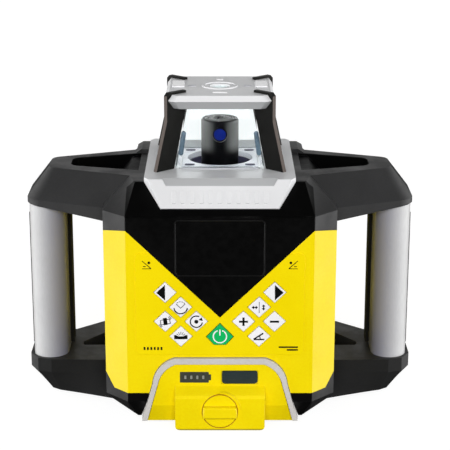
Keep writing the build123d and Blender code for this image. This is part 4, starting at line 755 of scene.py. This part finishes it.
floor_mesh = bpy.data.meshes.new("studio_floor")
floor_corners = [
    (-FLOOR_HALF, -FLOOR_HALF, 0),
    (FLOOR_HALF, -FLOOR_HALF, 0),
    (FLOOR_HALF, FLOOR_HALF, 0),
    (-FLOOR_HALF, FLOOR_HALF, 0),
]
floor_mesh.from_pydata(floor_corners, [], [(0, 1, 2, 3)])
floor = bpy.data.objects.new("studio_floor", floor_mesh)
bpy.context.scene.collection.objects.link(floor)
floor.visible_glossy = False
floor.visible_diffuse = False
floor_look = bpy.data.materials.new("studio_floor")
floor_look.use_nodes = True
floor_shader = floor_look.node_tree.nodes["Principled BSDF"]
floor_shader.inputs["Base Color"].default_value = (0.25, 0.25, 0.25, 1)
floor_shader.inputs["Roughness"].default_value = 0.9
floor_shader.inputs["Specular IOR Level"].default_value = 0.0
floor_shader.inputs["Emission Color"].default_value = (1, 1, 1, 1)
floor_shader.inputs["Emission Strength"].default_value = 0.88
floor_mesh.materials.append(floor_look)

world = bpy.data.worlds.new("studio")
world.use_nodes = True
bpy.context.scene.world = world
sky = world.node_tree
sky.nodes.clear()
direction = add(sky, "ShaderNodeTexCoord").outputs["Generated"]
parts = add(sky, "ShaderNodeSeparateXYZ", {0: direction})
x_side = arithmetic(sky, "ABSOLUTE", parts.outputs["X"])
rear = product(
    sky,
    spread(sky, parts.outputs["Y"], -0.2, 0.4, 0.0, REAR_SKY),
    spread(sky, parts.outputs["Z"], 0.25, 0.7, 1.0, 0.0),
    spread(sky, parts.outputs["Z"], -0.06, 0.04, 0.0, 1.0),
)
flank = product(
    sky,
    spread(sky, x_side, 0.6, 0.95, 0.0, SIDE_SKY),
    spread(sky, parts.outputs["Z"], 0.4, 0.8, 1.0, 0.0),
    spread(sky, parts.outputs["Z"], -0.65, -0.35, 0.0, 1.0),
)
strength = arithmetic(sky, "ADD", arithmetic(sky, "ADD", rear, flank), BASE_SKY)
background = add(sky, "ShaderNodeBackground", {"Color": (1, 1, 1, 1), "Strength": strength})
sky_end = add(sky, "ShaderNodeOutputWorld")
sky.links.new(background.outputs[0], sky_end.inputs["Surface"])


def lamp(name, place, size, power):
    """A soft oblong lamp aimed at the middle of the object, which doesn't show in reflections."""
    data = bpy.data.lights.new(name, "AREA")
    data.shape = "RECTANGLE"
    data.size, data.size_y = size
    data.energy = power
    made = bpy.data.objects.new(name, data)
    bpy.context.scene.collection.objects.link(made)
    made.location = place
    aim = Vector((0, 0, 0.1)) - made.location
    made.rotation_euler = aim.to_track_quat("-Z", "Y").to_euler()
    made.visible_glossy = False


lamp("key_lamp", (0.0, -2.4, 0.95), (1.8, 1.0), 59.0)
lamp("rear_lamp", (0.0, 2.4, 0.45), (1.8, 0.8), 14.0)

camera_data = bpy.data.cameras.new("camera")
camera_data.sensor_width = 36.0
camera_data.lens = CAMERA_LENS
camera_data.shift_x = CAMERA_SHIFT_X
camera_data.clip_end = 50.0
camera = bpy.data.objects.new("camera", camera_data)
bpy.context.scene.collection.objects.link(camera)
camera.location = CAMERA_PLACE
camera.rotation_euler = (radians(90 - CAMERA_DOWN), 0.0, 0.0)
bpy.context.scene.camera = camera
bpy.context.scene.view_settings.view_transform = "Standard"
